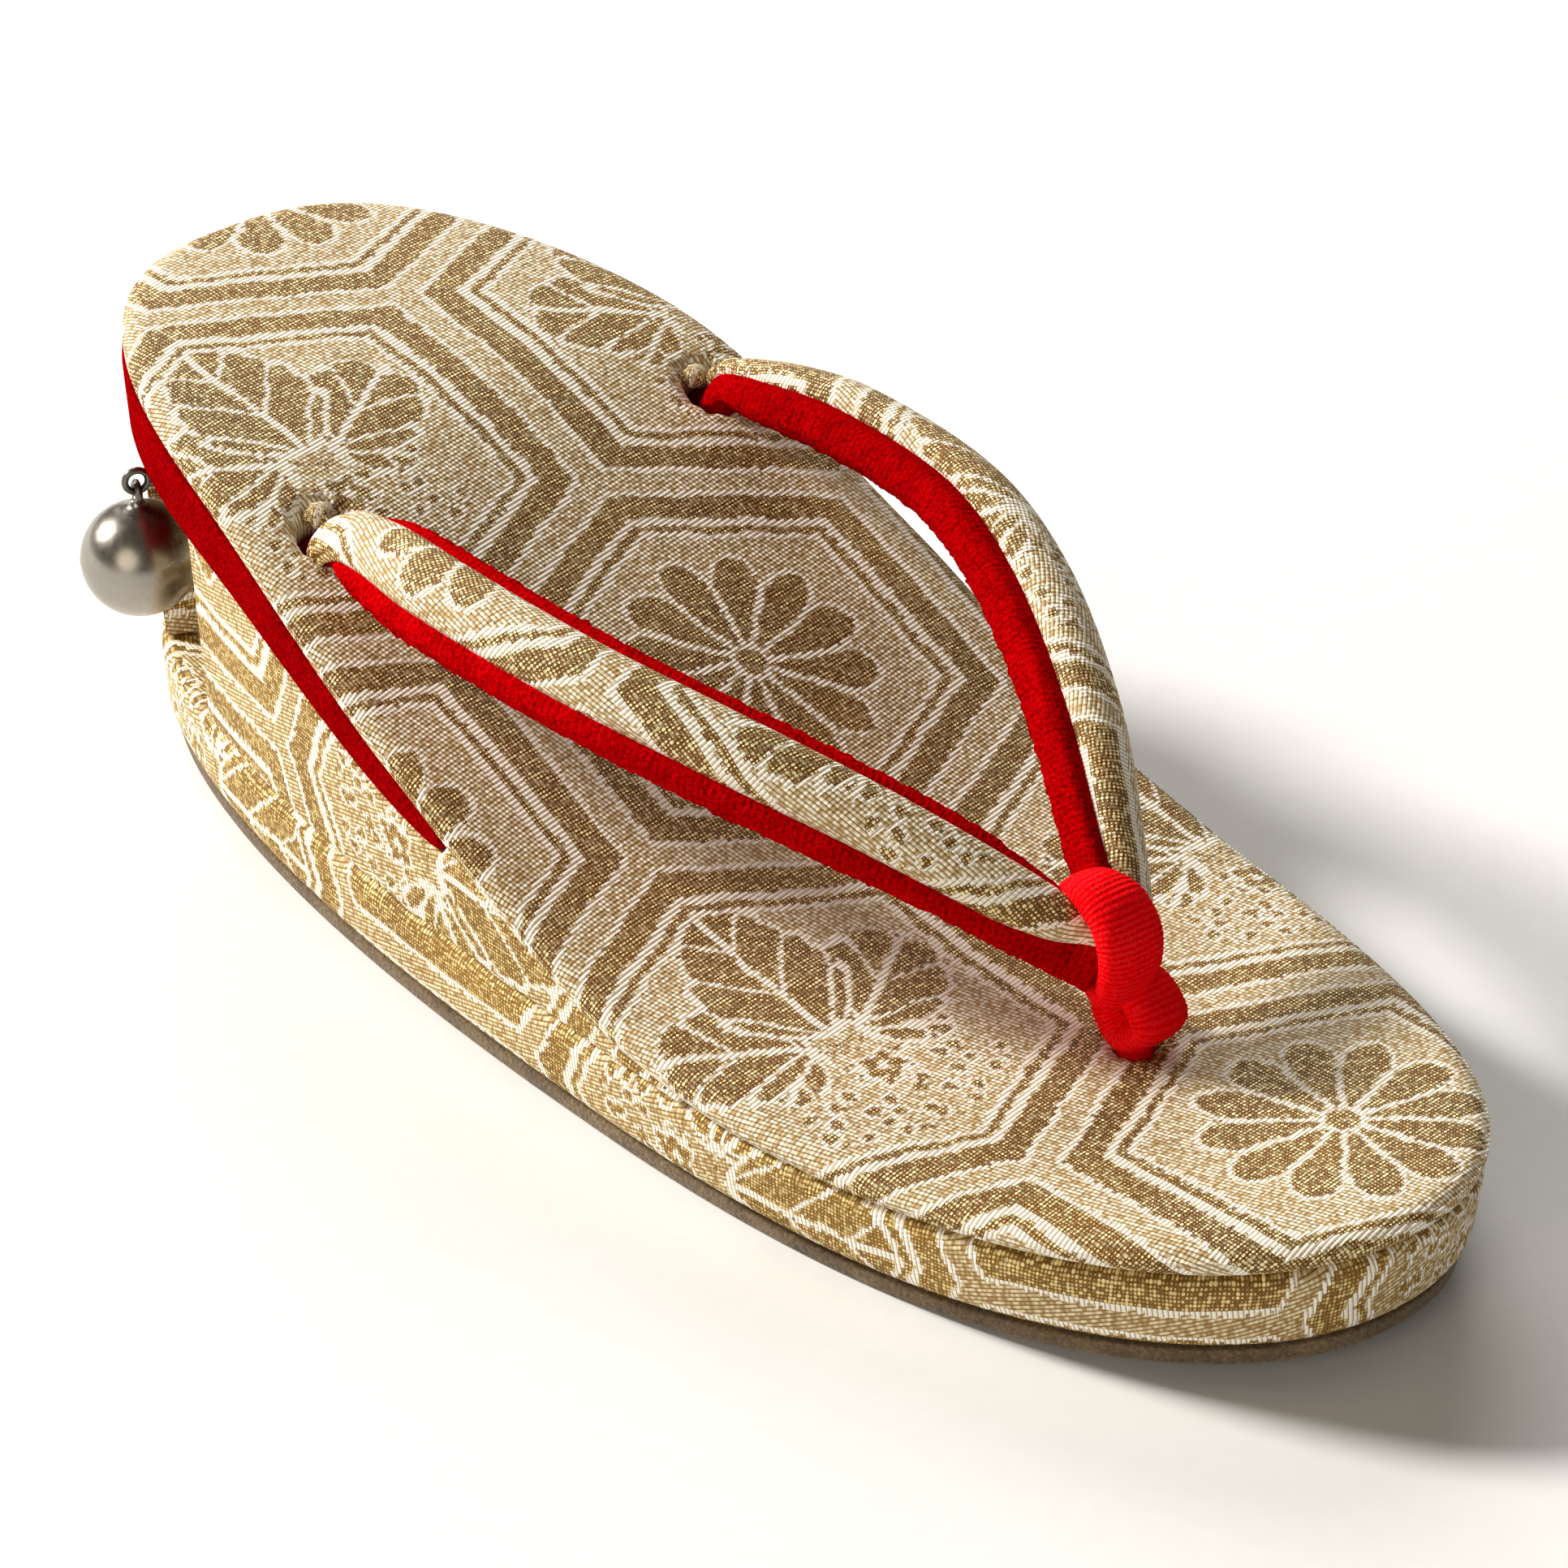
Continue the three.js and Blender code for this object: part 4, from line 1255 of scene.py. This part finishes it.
def rod(name, start, end, wire):
    start = np.array(start, float)
    end = np.array(end, float)
    way = (end - start) / np.linalg.norm(end - start)
    side = np.cross(way, (0.0, 0.0, 1.0))
    side /= np.linalg.norm(side)
    up = np.cross(side, way)
    rings = []
    for t, r in ((0, 0.01), (0, 0.8), (0.02, 1.0), (0.98, 1.0), (1, 0.8), (1, 0.01)):
        rings.append([start + (end - start) * t + (side * math.cos(b) + up * math.sin(b)) * wire * r
                      for b in full_turn(WIRE_SIDES)])
    return loft(name, rings, cap=True)


bell_rows = [(0.0, -BELL_RADIUS)]
for k in range(1, BELL_STEPS):
    angle = math.pi * (k / BELL_STEPS - 0.5)
    level = BELL_RADIUS * math.sin(angle)
    bead = BEAD * math.exp(-(level / BEAD_HALF) ** 2)
    bell_rows.append(((BELL_RADIUS + bead) * math.cos(angle), level))
bell_rows = [row for row in bell_rows if row[1] < NECK_FROM] + list(NECK)
bell = lathe("bell_ball", [(r, BELL_HEIGHT + z) for r, z in bell_rows], eye)
finish_piece(bell, STEEL, "bell", "steel", "bell")
loop_top = EYE_HEIGHT - EYE_RADIUS + HOOK_WIRE + LOOP_PLAY + LOOP_WIRE
loop = torus("bell_loop", (*eye, loop_top - LOOP_RADIUS), (*notch_out, 0.0), LOOP_RADIUS, LOOP_WIRE)
finish_piece(loop, WIRE, "bell", "steel", "bell")
hook = torus("hook_eye", (*eye, EYE_HEIGHT), (*notch_along, 0.0), EYE_RADIUS, HOOK_WIRE)
finish_piece(hook, WIRE, "sandal", "dark_steel", "bell_hook")
pin_height = EYE_HEIGHT - PIN_DROP
pin_head = (*(eye - notch_out * EYE_RADIUS), pin_height)
pin_foot = (*(eye - notch_out * (NOTCH_DEPTH + EYE_OUT - SEAT_GAP)), pin_height)
pin = rod("hook_pin", pin_head, pin_foot, HOOK_WIRE)
finish_piece(pin, WIRE, "sandal", "dark_steel", "bell_hook")


# ---- floor, light, camera

FLOOR_HALF = 3.0
LIGHT_TARGET = (0, 0, 0.02)


def floor_piece():
    corners = [(x * FLOOR_HALF, y * FLOOR_HALF, 0) for x, y in ((-1, -1), (1, -1), (1, 1), (-1, 1))]
    mesh = bpy.data.meshes.new("floor")
    mesh.from_pydata(corners, [], [(0, 1, 2, 3)])
    obj = bpy.data.objects.new("floor", mesh)
    scene.collection.objects.link(obj)
    made, n, shader = material("pale_floor")
    spot = n.object_place()
    grain = n.noise(spot, 300.0, 2.0)
    n.fill(shader, {"Base Color": n.mix(grain, (0.85, 0.865, 0.89), (0.89, 0.905, 0.93)),
                    "Roughness": 0.8, "Specular IOR Level": 0.2})
    obj.data.materials.append(made)


def area_light(name, place, size, power, colour):
    data = bpy.data.lights.new(name, "AREA")
    data.shape = "DISK"
    data.size = size
    data.energy = power
    data.color = colour
    obj = bpy.data.objects.new(name, data)
    scene.collection.objects.link(obj)
    obj.location = place
    way = Vector(LIGHT_TARGET) - Vector(place)
    obj.rotation_euler = way.to_track_quat("-Z", "Y").to_euler()


floor_piece()
area_light("key", (-1.75, -1.0, 1.3), 0.54, 88.0, (1.0, 0.955, 0.875))
area_light("back", (-1.95, 1.35, 1.55), 2.0, 45.0, (1.0, 0.97, 0.92))
area_light("front", (0.9, -1.95, 0.9), 1.7, 15.0, (1.0, 0.9, 0.76))

world = bpy.data.worlds.new("studio")
scene.world = world
world.use_nodes = True
Nodes(world.node_tree).fill(world.node_tree.nodes["Background"],
                            {"Color": (1.0, 0.9, 0.76), "Strength": 0.11})

CAMERA_AT = (435.536, -403.971, 408.572)
CAMERA_RIGHT = (0.670888, 0.741241, 0.021701)
CAMERA_UP = (-0.414777, 0.350830, 0.839570)
CAMERA_AHEAD = (-0.614710, 0.572259, -0.542817)
camera_data = bpy.data.cameras.new("camera")
camera_data.lens = 133.85
camera_data.sensor_width = 36.0
camera_data.clip_start = 0.01
camera = bpy.data.objects.new("camera", camera_data)
scene.collection.objects.link(camera)
turn = Matrix((CAMERA_RIGHT, CAMERA_UP, tuple(-v for v in CAMERA_AHEAD))).transposed()
camera.matrix_world = Matrix.Translation(Vector(CAMERA_AT) * MM) @ turn.to_4x4()
scene.camera = camera
scene.view_settings.view_transform = "Standard"
